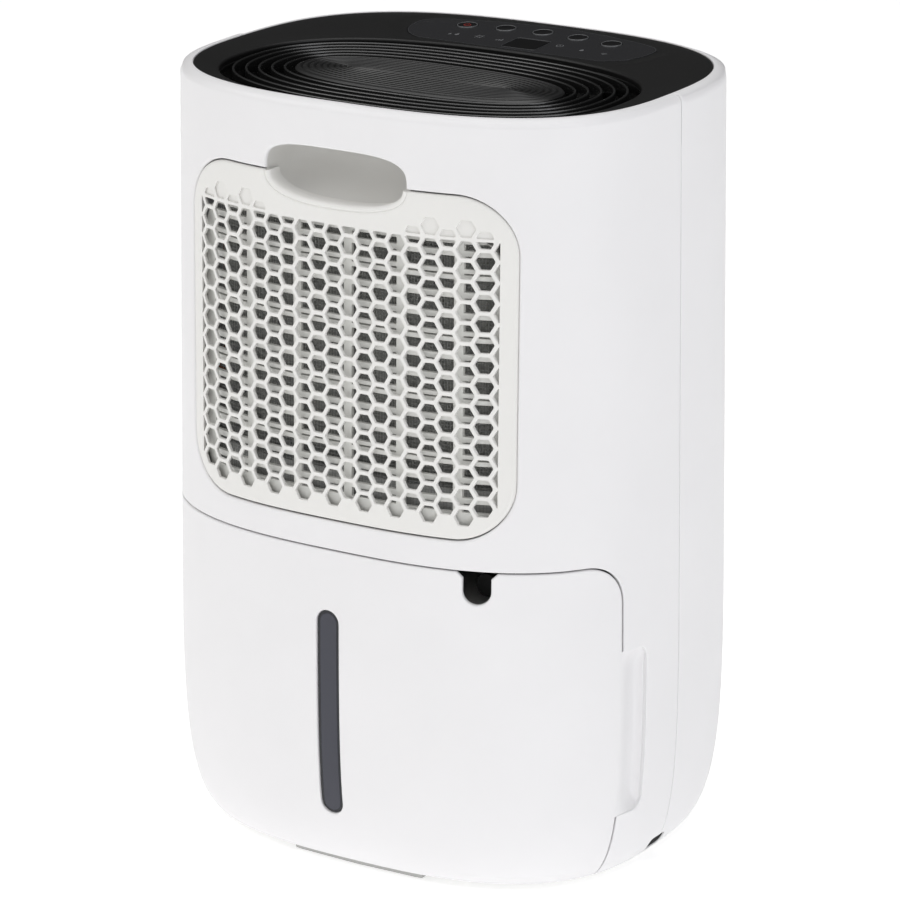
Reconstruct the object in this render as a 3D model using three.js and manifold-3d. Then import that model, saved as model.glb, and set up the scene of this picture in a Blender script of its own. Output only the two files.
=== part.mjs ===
// A free-standing compressor dehumidifier: two-part casing, lift-out intake grille and filter,
// sliding water tank with float, coils, compressor, fan and a top control panel.
// Millimetres. X is the width, +Y the user's side with the buttons, -Y the side with the intake
// grille and the tank, Z is up and the floor is at zero.
import * as THREE from 'three';
import { mergeGeometries, mergeVertices } from 'three/addons/utils/BufferGeometryUtils.js';
import Module from 'manifold-3d';

const wasm = await Module();
wasm.setup();

// ---- Driving dimensions ----------------------------------------------------------------------
const HEIGHT = 470;
const RIM_HALF_WIDTH = 155;
const RIM_REAR_DEPTH = 122.8;
const RIM_FRONT_DEPTH = 134.6;
const REAR_POWER = 2.75;          // superellipse powers of the two halves of the plan outline
const FRONT_POWER = 2.87;
const DRAFT = 0.01265;            // the casing widens by this much per millimetre going down
const WAIST_Y = -5.9;             // plane of the greatest width
const SEAM_Y = WAIST_Y + 3;       // joint between the front and rear shells
const TUCK_TOP_Z = 201.9;         // the lower casing curves in below this height
const TUCK_HEIGHT = 201.7;
const TUCK_DEPTH = 41.9;
const UNDERSIDE_Z = 5;
const RIM_FILLET = 4.5;
const WALL = 2.6;
const RIM_WIDTH = 6.9;
const LEDGE_WIDTH = 13;           // inner ledge that carries the black top cover
const LEDGE_Z = 461.5;
const GAP = 0.4;                  // clearance between pieces that meet
const RING_POINTS = 32;
const OUTER_LEVELS = [UNDERSIDE_Z, 8.5, 16, 32, 62, 112, 200];

const TANK_EDGE_Y = WAIST_Y - 54;
const TANK_TOP_Z = 204.4;
const TANK_CORNER = 19;
const TANK_BACK_Y = -33;
const TANK_GAP = 1;
const BUCKET_INSET = 9.8;
const BUCKET_BOTTOM_Z = 9.5;
const BUCKET_TOP_Z = 178;
const BUCKET_WALL = 2;
const GRIP_LOW_Z = 46;
const GRIP_HIGH_Z = 149;
const GRIP_BACK_Y = WAIST_Y - 34;
const GRIP_DEPTH = 7;
const WINDOW_X = -4.3;
const WINDOW_WIDTH = 15;
const WINDOW_LOW_Z = 38.5;
const WINDOW_HIGH_Z = 167;
const NOTCH_X = 91.3;
const NOTCH_WIDTH = 16;
const NOTCH_LOW_Z = 185;

const GRILLE_HALF_WIDTH = 111;
const GRILLE_LOW_Z = 223.5;
const GRILLE_HIGH_Z = 425.5;
const GRILLE_CORNER = 34;
const GRILLE_GAP = 0.6;
const HAND_HALF_WIDTH = 48;
const HAND_LOW_Z = 409.5;
const HAND_HIGH_Z = 443.5;
const HEX_PITCH = 24.26;          // a coarse field: the moulded grille's cells are half this size
const HEX_WALL = 2.3;
const HEX_FIRST_Z = 243.3;
const HEX_HALF_WIDTH = 102;
const HEX_TOP_Z = 400;
const FILTER_INSET = 4.5;
const FILTER_THICKNESS = 3;

const TRACK_Y = WAIST_Y - 22;     // centre of the air outlet
const TRACK_POWER = 2.44;
const OUTLET = { length: 128.5, width: 85 };
const OUTER_BLADE = { length: 122, width: 74.7 };
const INNER_BLADE = { length: 93.2, width: 43.4 };
const PLATE = { length: 87.6, width: 36.7 };
const BLADES = 5;
const BLADE_POINTS = 24;
const BLADE_THICKNESS = 2;
const OUTLET_TOP_Z = 466;
const OUTLET_RIB_Z = 459.5;
const COVER_INSET = RIM_WIDTH + 0.3;
const COVER_THICKNESS = 3.6;

const PANEL_NEAR_Y = 58.5;
const PANEL_FAR_Y = 114;
const PANEL_HALF_WIDTH = 83;
const PANEL_SLOPE = 0.0545;       // the panel falls towards the outlet
const BUTTON_PITCH = 25.4;
const BUTTON_RADIUS = 6.2;
const DISPLAY = { x: 4.4, y: 75, width: 22, depth: 20 };
const BOARD_TOP_Z = 449.6;

const DECK_Z = 206;
const PARTITION_Y = -28;
const COIL = { halfWidth: 98, lowZ: 212, highZ: 402, thickness: 22 };
const EVAPORATOR_Y = -98;
const CONDENSER_Y = -72;
const FAN_Z = 322;
const FAN_RADIUS = 74;
const HOUSING_Y = -44;
const HOUSING_DEPTH = 56;
const SHAFT_RADIUS = 3;
const COMPRESSOR = { x: -30, y: 50, radius: 50, lowZ: 24, highZ: 194 };
const COMPRESSOR_FEET = [30, 150, 270];   // degrees round the can

// ---- Materials -------------------------------------------------------------------------------
function finish(color, roughness, metalness = 0) {
  return new THREE.MeshStandardMaterial({ color, roughness, metalness });
}

const whitePlastic = finish('#edecec', 0.42);
const grillePlastic = finish('#e9e8e5', 0.45);
const blackPlastic = finish('#1d1c1c', 0.4);
const panelGloss = finish('#121213', 0.12);
const greyPlastic = finish('#c9c9c8', 0.5);
const filterNylon = finish('#b9bab8', 0.8);
const tankPlastic = finish('#dfe3e6', 0.3);
const windowPlastic = finish('#44464b', 0.15);
const rubber = finish('#202020', 0.85);
const coilAluminium = finish('#a9abac', 0.4, 0.9);
const copper = finish('#b06a3f', 0.35, 0.9);
const steel = finish('#9fa2a5', 0.35, 0.9);
const enamel = finish('#161616', 0.45, 0.3);
const circuitBoard = finish('#2f6b3c', 0.55);

// ---- Solids ----------------------------------------------------------------------------------
function solidOf(geometry) {
  const bare = geometry.clone();
  bare.deleteAttribute('normal');
  bare.deleteAttribute('uv');
  const merged = mergeVertices(bare);
  return new wasm.Manifold(new wasm.Mesh({
    numProp: 3,
    vertProperties: new Float32Array(merged.attributes.position.array),
    triVerts: new Uint32Array(merged.index.array),
  }));
}

function geometryOf(solid) {
  const mesh = solid.getMesh();
  const geometry = new THREE.BufferGeometry();
  geometry.setAttribute('position', new THREE.BufferAttribute(mesh.vertProperties, 3));
  geometry.setIndex(new THREE.BufferAttribute(mesh.triVerts, 1));
  geometry.computeVertexNormals();
  return geometry;
}

function part(name, solid, material, group) {
  const mesh = new THREE.Mesh(geometryOf(solid), material);
  mesh.name = name;
  group.add(mesh);
  return mesh;
}

function joined(solids) {
  return solids.reduce((whole, next) => whole.add(next));
}

function span(low, high, count) {
  return Array.from({ length: count }, (_, i) => low + (high - low) * i / (count - 1));
}

function boxGeometry([x0, x1], [y0, y1], [z0, z1]) {
  const geometry = new THREE.BoxGeometry(x1 - x0, y1 - y0, z1 - z0);
  geometry.translate((x0 + x1) / 2, (y0 + y1) / 2, (z0 + z1) / 2);
  return geometry;
}

function box(x, y, z) {
  return solidOf(boxGeometry(x, y, z));
}

// A round bar along X, Y or Z, from one value of that axis to the other.
function bar(axis, radius, from, to, centre, segments = 16) {
  const geometry = new THREE.CylinderGeometry(radius, radius, to - from, segments);
  const [u, v] = centre;
  const middle = (from + to) / 2;
  if (axis === 'x') geometry.rotateZ(Math.PI / 2).translate(middle, u, v);
  if (axis === 'y') geometry.translate(u, middle, v);
  if (axis === 'z') geometry.rotateX(Math.PI / 2).translate(u, v, middle);
  return solidOf(geometry);
}

// A solid of revolution about a vertical axis; the profile holds [radius, z] from the axis to it.
function turned(profile, [x, y], segments = 20) {
  const points = profile.map(([radius, z]) => new THREE.Vector2(radius, z));
  const geometry = new THREE.LatheGeometry(points, segments);
  geometry.rotateX(Math.PI / 2);
  geometry.translate(x, y, 0);
  return solidOf(geometry);
}

// A shape drawn in X and Z, pushed through from y0 to y1.
function throughY(shape, y0, y1, curveSegments = 4) {
  const geometry = new THREE.ExtrudeGeometry(shape, { depth: y1 - y0, bevelEnabled: false, curveSegments });
  geometry.rotateX(Math.PI / 2);
  geometry.translate(0, y1, 0);
  return geometry;
}

// A shape drawn in Y and Z, pushed through from x0 to x1.
function throughX(shape, x0, x1, curveSegments = 4) {
  const geometry = new THREE.ExtrudeGeometry(shape, { depth: x1 - x0, bevelEnabled: false, curveSegments });
  const turn = new THREE.Matrix4().makeBasis(
    new THREE.Vector3(0, 1, 0), new THREE.Vector3(0, 0, 1), new THREE.Vector3(1, 0, 0));
  geometry.applyMatrix4(turn);
  geometry.translate(x0, 0, 0);
  return geometry;
}

// A shape drawn in X and Y, pushed up from z0 to z1.
function throughZ(shape, z0, z1, curveSegments = 6) {
  const geometry = new THREE.ExtrudeGeometry(shape, { depth: z1 - z0, bevelEnabled: false, curveSegments });
  geometry.translate(0, 0, z0);
  return geometry;
}

function roundedRectangle(x0, x1, y0, y1, r) {
  const shape = new THREE.Shape();
  shape.moveTo(x0 + r, y0);
  shape.lineTo(x1 - r, y0);
  shape.absarc(x1 - r, y0 + r, r, -Math.PI / 2, 0);
  shape.lineTo(x1, y1 - r);
  shape.absarc(x1 - r, y1 - r, r, 0, Math.PI / 2);
  shape.lineTo(x0 + r, y1);
  shape.absarc(x0 + r, y1 - r, r, Math.PI / 2, Math.PI);
  shape.lineTo(x0, y0 + r);
  shape.absarc(x0 + r, y0 + r, r, Math.PI, 1.5 * Math.PI);
  return shape;
}

// Level rings stacked into one closed solid, lowest first, each ring counter-clockwise from above.
function loft(rings) {
  const count = rings[0].length;
  const indices = [];
  for (let level = 0; level < rings.length - 1; level += 1) {
    for (let i = 0; i < count; i += 1) {
      const a = level * count + i;
      const b = level * count + (i + 1) % count;
      indices.push(a, b, b + count, a, b + count, a + count);
    }
  }
  const outline = rings[0].map(([x, y]) => new THREE.Vector2(x, y));
  const top = (rings.length - 1) * count;
  for (const [i, j, k] of THREE.ShapeUtils.triangulateShape(outline, [])) {
    indices.push(i, k, j, top + i, top + j, top + k);
  }
  const geometry = new THREE.BufferGeometry();
  geometry.setAttribute('position', new THREE.Float32BufferAttribute(rings.flat(2), 3));
  geometry.setIndex(indices);
  return solidOf(geometry);
}

// Closed curves joined one to the next and the last to the first: a hoop with that section.
function hoop(curves) {
  const count = curves[0].length;
  const indices = [];
  for (let c = 0; c < curves.length; c += 1) {
    const near = c * count;
    const far = (c + 1) % curves.length * count;
    for (let i = 0; i < count; i += 1) {
      const next = (i + 1) % count;
      indices.push(near + i, near + next, far + next, near + i, far + next, far + i);
    }
  }
  const geometry = new THREE.BufferGeometry();
  geometry.setAttribute('position', new THREE.Float32BufferAttribute(curves.flat(2), 3));
  geometry.setIndex(indices);
  return solidOf(geometry);
}

// A round tube through a list of points.
function pipe(points, radius, steps, sides = 8) {
  const path = new THREE.CatmullRomCurve3(points.map((p) => new THREE.Vector3(...p)), false, 'centripetal');
  const section = new THREE.Shape();
  section.absarc(0, 0, radius, 0, 2 * Math.PI);
  const geometry = new THREE.ExtrudeGeometry(section, {
    steps, extrudePath: path, bevelEnabled: false, curveSegments: sides / 2,
  });
  return solidOf(geometry);
}

// ---- Casing surface --------------------------------------------------------------------------
function bottomTuck(z) {
  const depth = Math.min(Math.max((TUCK_TOP_Z - z) / TUCK_HEIGHT, 0), 1);
  return TUCK_DEPTH * (1 - (1 - depth ** 4) ** 0.25);
}

function casingHalfWidth(z) {
  return RIM_HALF_WIDTH + DRAFT * (HEIGHT - z) - bottomTuck(z);
}

function casingRearDepth(z) {
  return RIM_REAR_DEPTH + DRAFT * (HEIGHT - z) - bottomTuck(z);
}

function signedPower(value, power) {
  return Math.sign(value) * Math.abs(value) ** power;
}

// The plan outline of the casing at height z, drawn in by inset, placed at height atZ.
function casingRing(z, inset, atZ = z) {
  const frontDepth = casingRearDepth(z) + RIM_FRONT_DEPTH - RIM_REAR_DEPTH;
  return Array.from({ length: RING_POINTS }, (_, i) => {
    const turn = 2 * Math.PI * i / RING_POINTS;
    const rear = Math.sin(turn) < 0;
    const power = 2 / (rear ? REAR_POWER : FRONT_POWER);
    const depth = (rear ? casingRearDepth(z) : frontDepth) - inset;
    const x = (casingHalfWidth(z) - inset) * signedPower(Math.cos(turn), power);
    const y = depth * signedPower(Math.sin(turn), power);
    return [x, WAIST_Y + y, atZ];
  });
}

// The half width of the rear casing at a given depth and height.
function rearWallX(y, z) {
  const share = Math.abs(y - WAIST_Y) / casingRearDepth(z);
  return casingHalfWidth(z) * (1 - share ** REAR_POWER) ** (1 / REAR_POWER);
}

function casingCore(inset, lowZ, highZ) {
  const between = OUTER_LEVELS.filter((z) => z > lowZ + 1 && z < highZ - 1);
  return loft([lowZ, ...between, highZ].map((z) => casingRing(z, inset)));
}

// The layer of the casing between two insets, over a range of heights.
function casingLayer(outerInset, innerInset, lowZ, highZ) {
  return casingCore(outerInset, lowZ, highZ).subtract(casingCore(innerInset, lowZ - 2, highZ + 2));
}

const FAR = 400;
const REAR_SIDE = [-FAR, WAIST_Y - 60];

function rearPatch(shape, outerInset, innerInset, lowZ, highZ) {
  const layer = casingLayer(outerInset, innerInset, lowZ, highZ);
  return layer.intersect(solidOf(throughY(shape, ...REAR_SIDE)));
}

function casingTube() {
  const fillet = [0, 50, 90].map((degrees) => {
    const angle = THREE.MathUtils.degToRad(degrees);
    const z = HEIGHT - RIM_FILLET * (1 - Math.sin(angle));
    return casingRing(z, RIM_FILLET * (1 - Math.cos(angle)));
  });
  const outer = loft([...OUTER_LEVELS.map((z) => casingRing(z, 0)), ...fillet]);
  const innerLevels = [UNDERSIDE_Z - 1, ...OUTER_LEVELS.slice(1), LEDGE_Z - 8];
  const inner = loft([
    ...innerLevels.map((z) => casingRing(z, WALL)),
    casingRing(LEDGE_Z - 4, LEDGE_WIDTH),
    casingRing(LEDGE_Z, LEDGE_WIDTH),
    casingRing(LEDGE_Z + 0.02, RIM_WIDTH),
    casingRing(HEIGHT + 1, RIM_WIDTH),
  ]);
  return outer.subtract(inner);
}

// ---- Openings --------------------------------------------------------------------------------
// The tank bay seen from the side, drawn in Y and Z, grown outwards by a margin.
function tankBay(margin) {
  const edge = TANK_EDGE_Y + margin;
  const top = TANK_TOP_Z + margin;
  const corner = TANK_CORNER + margin;
  const shape = new THREE.Shape();
  shape.moveTo(-FAR, -20);
  shape.lineTo(edge, -20);
  shape.lineTo(edge, top - corner);
  shape.absarc(edge - corner, top - corner, corner, 0, Math.PI / 2);
  shape.lineTo(-FAR, top);
  return solidOf(throughX(shape, -FAR, FAR));
}

function grilleOutline(margin) {
  return roundedRectangle(-GRILLE_HALF_WIDTH - margin, GRILLE_HALF_WIDTH + margin,
    GRILLE_LOW_Z - margin, GRILLE_HIGH_Z + margin, GRILLE_CORNER + margin);
}

function handOpening(margin) {
  const radius = (HAND_HIGH_Z - HAND_LOW_Z) / 2 + margin - 0.01;
  return roundedRectangle(-HAND_HALF_WIDTH - margin, HAND_HALF_WIDTH + margin,
    HAND_LOW_Z - margin, HAND_HIGH_Z + margin, radius);
}

function windowOutline(margin) {
  const half = WINDOW_WIDTH / 2 + margin;
  return roundedRectangle(WINDOW_X - half, WINDOW_X + half,
    WINDOW_LOW_Z - margin, WINDOW_HIGH_Z + margin, half - 0.01);
}

function hoseNotch() {
  const half = NOTCH_WIDTH / 2;
  const flare = 3.5;
  const shape = new THREE.Shape();
  shape.moveTo(NOTCH_X - half, TANK_TOP_Z - flare);
  shape.lineTo(NOTCH_X - half, NOTCH_LOW_Z + half);
  shape.absarc(NOTCH_X, NOTCH_LOW_Z + half, half, Math.PI, 2 * Math.PI);
  shape.lineTo(NOTCH_X + half, TANK_TOP_Z - flare);
  shape.lineTo(NOTCH_X + half + flare, TANK_TOP_Z);
  shape.lineTo(NOTCH_X + half + flare, TANK_TOP_Z + 5);
  shape.lineTo(NOTCH_X - half - flare, TANK_TOP_Z + 5);
  shape.lineTo(NOTCH_X - half - flare, TANK_TOP_Z);
  return solidOf(throughY(shape, ...REAR_SIDE));
}

const CORD_EXIT = { y: [WAIST_Y - 6, WAIST_Y + 6], z: [7, 13] };

function cordExit() {
  return box([130, FAR], CORD_EXIT.y, CORD_EXIT.z);
}

// ---- Casing ----------------------------------------------------------------------------------
const SCREW_PLACES = [[-112, 70], [112, 70], [-116, -14], [116, -14]];
const POST_RADIUS = 5;

// A screw post with a web that ties it to the side wall.
function screwPost([x, y]) {
  const side = Math.sign(x);
  const web = [x, side * (casingHalfWidth(30) - 1)].sort((a, b) => a - b);
  const post = bar('z', POST_RADIUS, 9.6, 34, [x, y], 12);
  const tie = box(web, [y - 1.5, y + 1.5], [20, 34]);
  const pilot = bar('z', 1.6, 9, 26, [x, y], 8);
  return post.add(tie.intersect(casingCore(WALL / 2, UNDERSIDE_Z, 100))).subtract(pilot);
}

function frontShell(tube) {
  const half = tube.intersect(box([-FAR, FAR], [SEAM_Y + GAP / 2, FAR], [0, FAR * 2]));
  const posts = SCREW_PLACES.slice(0, 2).map(screwPost);
  return joined([half, ...posts]).subtract(cordExit());
}

function rearShell(tube) {
  const grip = roundedRectangle(TANK_EDGE_Y - 10, GRIP_BACK_Y, GRIP_LOW_Z, GRIP_HIGH_Z, 5);
  const half = tube.intersect(box([-FAR, FAR], [-FAR, SEAM_Y - GAP / 2], [0, FAR * 2]));
  const posts = SCREW_PLACES.slice(2).map(screwPost);
  return joined([half, ...posts])
    .subtract(tankBay(TANK_GAP))
    .subtract(solidOf(throughX(grip, -FAR, FAR)))
    .subtract(solidOf(throughY(grilleOutline(GRILLE_GAP), ...REAR_SIDE)))
    .subtract(solidOf(throughY(handOpening(0), ...REAR_SIDE)))
    .subtract(cordExit());
}

function baseTray() {
  const inset = WALL + 0.7;
  const tray = loft([casingRing(UNDERSIDE_Z + 0.2, inset), casingRing(9, inset)]);
  const holes = SCREW_PLACES.map((place) => bar('z', 2.4, 0, 12, place, 8));
  const sinks = SCREW_PLACES.map((place) => bar('z', 4.6, 0, 7.2, place, 10));
  return tray.subtract(joined([...holes, ...sinks]));
}

function baseScrew(place) {
  const head = bar('z', 4, 5.4, 6.9, place, 10);
  const shank = bar('z', 1.2, 6.5, 22, place, 6);
  return head.add(shank);
}

function footStrip(side) {
  const inset = 5;
  const outline = loft([casingRing(UNDERSIDE_Z, inset + 1.5, 0), casingRing(UNDERSIDE_Z, inset, 4.9)]);
  const [near, far] = side < 0 ? [-FAR, -98] : [98, FAR];
  return outline.intersect(box([-45, 45], [near, far], [-1, 6]));
}

function cordGland() {
  const outside = casingHalfWidth(10) - WALL - 1.2;
  const block = box([outside - 12, outside], [WAIST_Y - 6, WAIST_Y + 9], [9.4, 19.5]);
  const bore = bar('x', 2.6, outside - 14, outside + 2, [WAIST_Y, 13.5], 10);
  return block.subtract(bore);
}

// ---- Top -------------------------------------------------------------------------------------
function trackRing({ length, width }, z, points = BLADE_POINTS) {
  return Array.from({ length: points }, (_, i) => {
    const turn = 2 * Math.PI * i / points;
    const x = length * signedPower(Math.cos(turn), 2 / TRACK_POWER);
    const y = width * signedPower(Math.sin(turn), 2 / TRACK_POWER);
    return [x, TRACK_Y + y, z];
  });
}

function halfway(ringA, ringB) {
  return ringA.map((point, i) => point.map((value, axis) => (value + ringB[i][axis]) / 2));
}

function panelHeight(y) {
  return OUTLET_TOP_Z + 0.2 + (y - PANEL_NEAR_Y) * PANEL_SLOPE;
}

// The control panel in plan: straight near edge, bowed far edge, rounded ends.
function panelOutline(margin) {
  const half = PANEL_HALF_WIDTH + margin;
  const near = PANEL_NEAR_Y + 2 - margin;
  const far = PANEL_FAR_Y + margin;
  const shoulder = 94;
  const shape = new THREE.Shape();
  shape.moveTo(-half + 20, near);
  shape.lineTo(half - 20, near);
  shape.quadraticCurveTo(half + 1, near + 8, half, shoulder);
  shape.quadraticCurveTo(half - 2, shoulder + 9, half - 22, shoulder + 13);
  shape.quadraticCurveTo(0, far + 9, -half + 22, shoulder + 13);
  shape.quadraticCurveTo(-half + 2, shoulder + 9, -half, shoulder);
  shape.quadraticCurveTo(-half - 1, near + 8, -half + 20, near);
  return shape;
}

// A sloping slab under the panel plane, cut to a plan outline.
function slopingSlab(shape, topDrop, bottomDrop) {
  const profile = new THREE.Shape();
  const [y0, y1] = [PANEL_NEAR_Y - 20, PANEL_FAR_Y + 20];
  profile.moveTo(y0, panelHeight(y0) - bottomDrop);
  profile.lineTo(y1, panelHeight(y1) - bottomDrop);
  profile.lineTo(y1, panelHeight(y1) - topDrop);
  profile.lineTo(y0, panelHeight(y0) - topDrop);
  const slab = solidOf(throughX(profile, -FAR, FAR));
  return slab.intersect(solidOf(throughZ(shape, 440, 490, 4)));
}

const BUTTON_NAMES = ['power_button', 'mode_button', 'humidity_button', 'fan_button', 'timer_button'];
const BUTTON_PLACES = BUTTON_NAMES.map((_, i) => {
  const x = (i - 2) * BUTTON_PITCH;
  return [x, 102 - 0.0019 * x * x];
});

function panelOpenings(margin) {
  const wells = BUTTON_PLACES.map((place) => bar('z', BUTTON_RADIUS + margin, 440, 490, place, 14));
  const { x, y, width, depth } = DISPLAY;
  const half = [width / 2 + margin, depth / 2 + margin];
  const screen = box([x - half[0], x + half[0]], [y - half[1], y + half[1]], [440, 490]);
  return joined([...wells, screen]);
}

function topCover() {
  const rim = casingRing(HEIGHT, COVER_INSET);
  const rimBelow = casingRing(HEIGHT, COVER_INSET, LEDGE_Z + GAP);
  const mouth = trackRing(OUTLET, OUTLET_TOP_Z, RING_POINTS);
  const mouthBelow = trackRing(OUTLET, OUTLET_TOP_Z - COVER_THICKNESS, RING_POINTS);
  const slope = halfway(rim, mouth);
  const slopeBelow = halfway(rimBelow, mouthBelow).map(([x, y]) => [x, y, LEDGE_Z + GAP + 0.2]);
  const plate = hoop([rim, slope, mouth, mouthBelow, slopeBelow, rimBelow]);
  const pocket = slopingSlab(panelOutline(0.5), -15, 1.6);
  return plate.subtract(pocket).subtract(panelOpenings(0.6));
}

function controlPanel() {
  return slopingSlab(panelOutline(0), -0.1, 1.2).subtract(panelOpenings(0.5));
}

function displayWindow() {
  const { x, y, width, depth } = DISPLAY;
  const outline = roundedRectangle(x - width / 2, x + width / 2, y - depth / 2, y + depth / 2, 1.5);
  return slopingSlab(outline, 0.2, 3);
}

function pushButton([x, y]) {
  const top = panelHeight(y) + 0.6;
  const cap = bar('z', BUTTON_RADIUS, LEDGE_Z - 2, top, [x, y], 14);
  const skirt = bar('z', BUTTON_RADIUS + 1.4, LEDGE_Z - 3, LEDGE_Z - 1, [x, y], 14);
  const stem = bar('z', 2, BOARD_TOP_Z + 3.4, LEDGE_Z - 2, [x, y], 6);
  return joined([cap, skirt, stem]);
}

function controlBoard() {
  const board = box([-64, 64], [66, 108], [BOARD_TOP_Z - 1.6, BOARD_TOP_Z]);
  const switches = BUTTON_PLACES.map(([x, y]) => (
    box([x - 3, x + 3], [y - 3, y + 3], [BOARD_TOP_Z - 0.5, BOARD_TOP_Z + 2.2])));
  const { x, y } = DISPLAY;
  const digits = box([x - 9, x + 9], [y - 7, y + 8], [BOARD_TOP_Z - 0.5, panelHeight(y) - 3.8]);
  return joined([board, ...switches, digits]);
}

function blade({ length, width }, topZ, bottomZ) {
  const half = BLADE_THICKNESS / 2;
  const outer = { length: length + half, width: width + half };
  const inner = { length: length - half, width: width - half };
  return hoop([
    trackRing(outer, topZ),
    trackRing(inner, topZ),
    trackRing(inner, bottomZ),
    trackRing(outer, bottomZ),
  ]);
}

function outletGrille() {
  const blades = Array.from({ length: BLADES }, (_, i) => {
    const share = i / (BLADES - 1);
    const length = THREE.MathUtils.lerp(OUTER_BLADE.length, INNER_BLADE.length, share);
    const width = THREE.MathUtils.lerp(OUTER_BLADE.width, INNER_BLADE.width, share);
    return blade({ length, width }, OUTLET_TOP_Z - 0.3, OUTLET_RIB_Z - 0.5);
  });
  const rib = [OUTLET_RIB_Z - 4.5, OUTLET_RIB_Z];
  const reach = { length: OUTLET.length + 0.5, width: OUTLET.width + 0.5 };
  const crossRibs = [-58, 58].map((x) => {
    const end = 0.97 * reach.width * (1 - Math.abs(x / reach.length) ** TRACK_POWER) ** (1 / TRACK_POWER);
    return box([x - 1.2, x + 1.2], [TRACK_Y - end, TRACK_Y + end], rib);
  });
  const longRib = box([-reach.length, reach.length], [TRACK_Y - 1.2, TRACK_Y + 1.2], rib);
  return joined([...blades, ...crossRibs, longRib, blade(reach, ...rib.slice().reverse())]);
}

function outletPlate() {
  const low = trackRing(PLATE, OUTLET_RIB_Z + GAP);
  const shoulder = trackRing(PLATE, OUTLET_TOP_Z - 1);
  const crown = trackRing({ length: PLATE.length - 1, width: PLATE.width - 1 }, OUTLET_TOP_Z - 0.4);
  return loft([low, shoulder, crown]);
}

// ---- Intake grille and filter ----------------------------------------------------------------
function hexagon(x, z, acrossFlats) {
  const radius = acrossFlats / Math.sqrt(3);
  const shape = new THREE.Shape();
  for (let corner = 0; corner < 6; corner += 1) {
    const angle = corner * Math.PI / 3;
    const point = [x + radius * Math.cos(angle), z + radius * Math.sin(angle)];
    if (corner === 0) shape.moveTo(...point);
    else shape.lineTo(...point);
  }
  return shape;
}

function honeycomb() {
  const columnPitch = HEX_PITCH * Math.sqrt(3) / 2;
  const columns = Math.floor(HEX_HALF_WIDTH / columnPitch);
  const cells = [];
  for (let column = -columns; column <= columns; column += 1) {
    const shift = column % 2 === 0 ? -HEX_PITCH / 2 : 0;
    for (let z = HEX_FIRST_Z + HEX_PITCH / 4 + shift; z < HEX_TOP_Z + 2; z += HEX_PITCH) {
      if (z < GRILLE_LOW_Z + HEX_PITCH / 2) continue;
      cells.push(throughY(hexagon(column * columnPitch, z, HEX_PITCH - HEX_WALL), ...REAR_SIDE));
    }
  }
  const field = box([-HEX_HALF_WIDTH, HEX_HALF_WIDTH], [-FAR, 0], [GRILLE_LOW_Z, HEX_TOP_Z]);
  return solidOf(mergeGeometries(cells)).intersect(field);
}

const GRILLE_TAB_X = 60;

function intakeGrille() {
  const plate = rearPatch(grilleOutline(0), 0, WALL, GRILLE_LOW_Z - 5, GRILLE_HIGH_Z + 5);
  const tabs = [-GRILLE_TAB_X, GRILLE_TAB_X].map((x) => {
    const outline = roundedRectangle(x - 8, x + 8, GRILLE_LOW_Z - 7, GRILLE_LOW_Z + 6, 2);
    return rearPatch(outline, WALL + 0.6, WALL + 2.2, GRILLE_LOW_Z - 10, GRILLE_LOW_Z + 8);
  });
  const hooks = [-GRILLE_TAB_X, GRILLE_TAB_X].map((x) => {
    const outline = roundedRectangle(x - 8, x + 8, GRILLE_LOW_Z + 1, GRILLE_LOW_Z + 5, 1);
    return rearPatch(outline, WALL / 2, WALL + 2, GRILLE_LOW_Z - 5, GRILLE_LOW_Z + 8);
  });
  return joined([plate.subtract(honeycomb()), ...tabs, ...hooks])
    .subtract(solidOf(throughY(handOpening(0), ...REAR_SIDE)));
}

const FILTER = { halfWidth: 103, lowZ: 236, highZ: 402 };

function filterCells() {
  const columns = 6;
  const rows = 4;
  const border = 6;
  const [barWidth, barHeight] = [4.5, 3];
  const left = -FILTER.halfWidth + border;
  const low = FILTER.lowZ + border;
  const pitchX = (2 * -left + barWidth) / columns;
  const pitchZ = (FILTER.highZ - border - low + barHeight) / rows;
  const cells = [];
  for (let column = 0; column < columns; column += 1) {
    for (let row = 0; row < rows; row += 1) {
      const x = left + column * pitchX;
      const z = low + row * pitchZ;
      cells.push(boxGeometry([x, x + pitchX - barWidth], REAR_SIDE, [z, z + pitchZ - barHeight]));
    }
  }
  return solidOf(mergeGeometries(cells));
}

function filterFrame() {
  const { halfWidth, lowZ, highZ } = FILTER;
  const outline = roundedRectangle(-halfWidth, halfWidth, lowZ, highZ, 22);
  const plate = rearPatch(outline, FILTER_INSET, FILTER_INSET + FILTER_THICKNESS, lowZ - 5, highZ + 5);
  return plate.subtract(filterCells());
}

function filterNet() {
  const { halfWidth, lowZ, highZ } = FILTER;
  const outline = roundedRectangle(-halfWidth + 3, halfWidth - 3, lowZ + 3, highZ - 3, 18);
  const inset = FILTER_INSET + FILTER_THICKNESS + 0.5;
  return rearPatch(outline, inset, inset + 0.8, lowZ - 5, highZ + 5);
}

function handPocket() {
  const outer = box([-HAND_HALF_WIDTH - 4, HAND_HALF_WIDTH + 4], [-FAR, -92],
    [HAND_LOW_Z - 5.5, HAND_HIGH_Z + 4]);
  const inner = box([-HAND_HALF_WIDTH - 2, HAND_HALF_WIDTH + 2], [-FAR, -94],
    [HAND_LOW_Z - 3.5, HAND_HIGH_Z + 2]);
  return outer.intersect(casingCore(WALL + 0.5, 380, 460)).subtract(inner);
}

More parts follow.
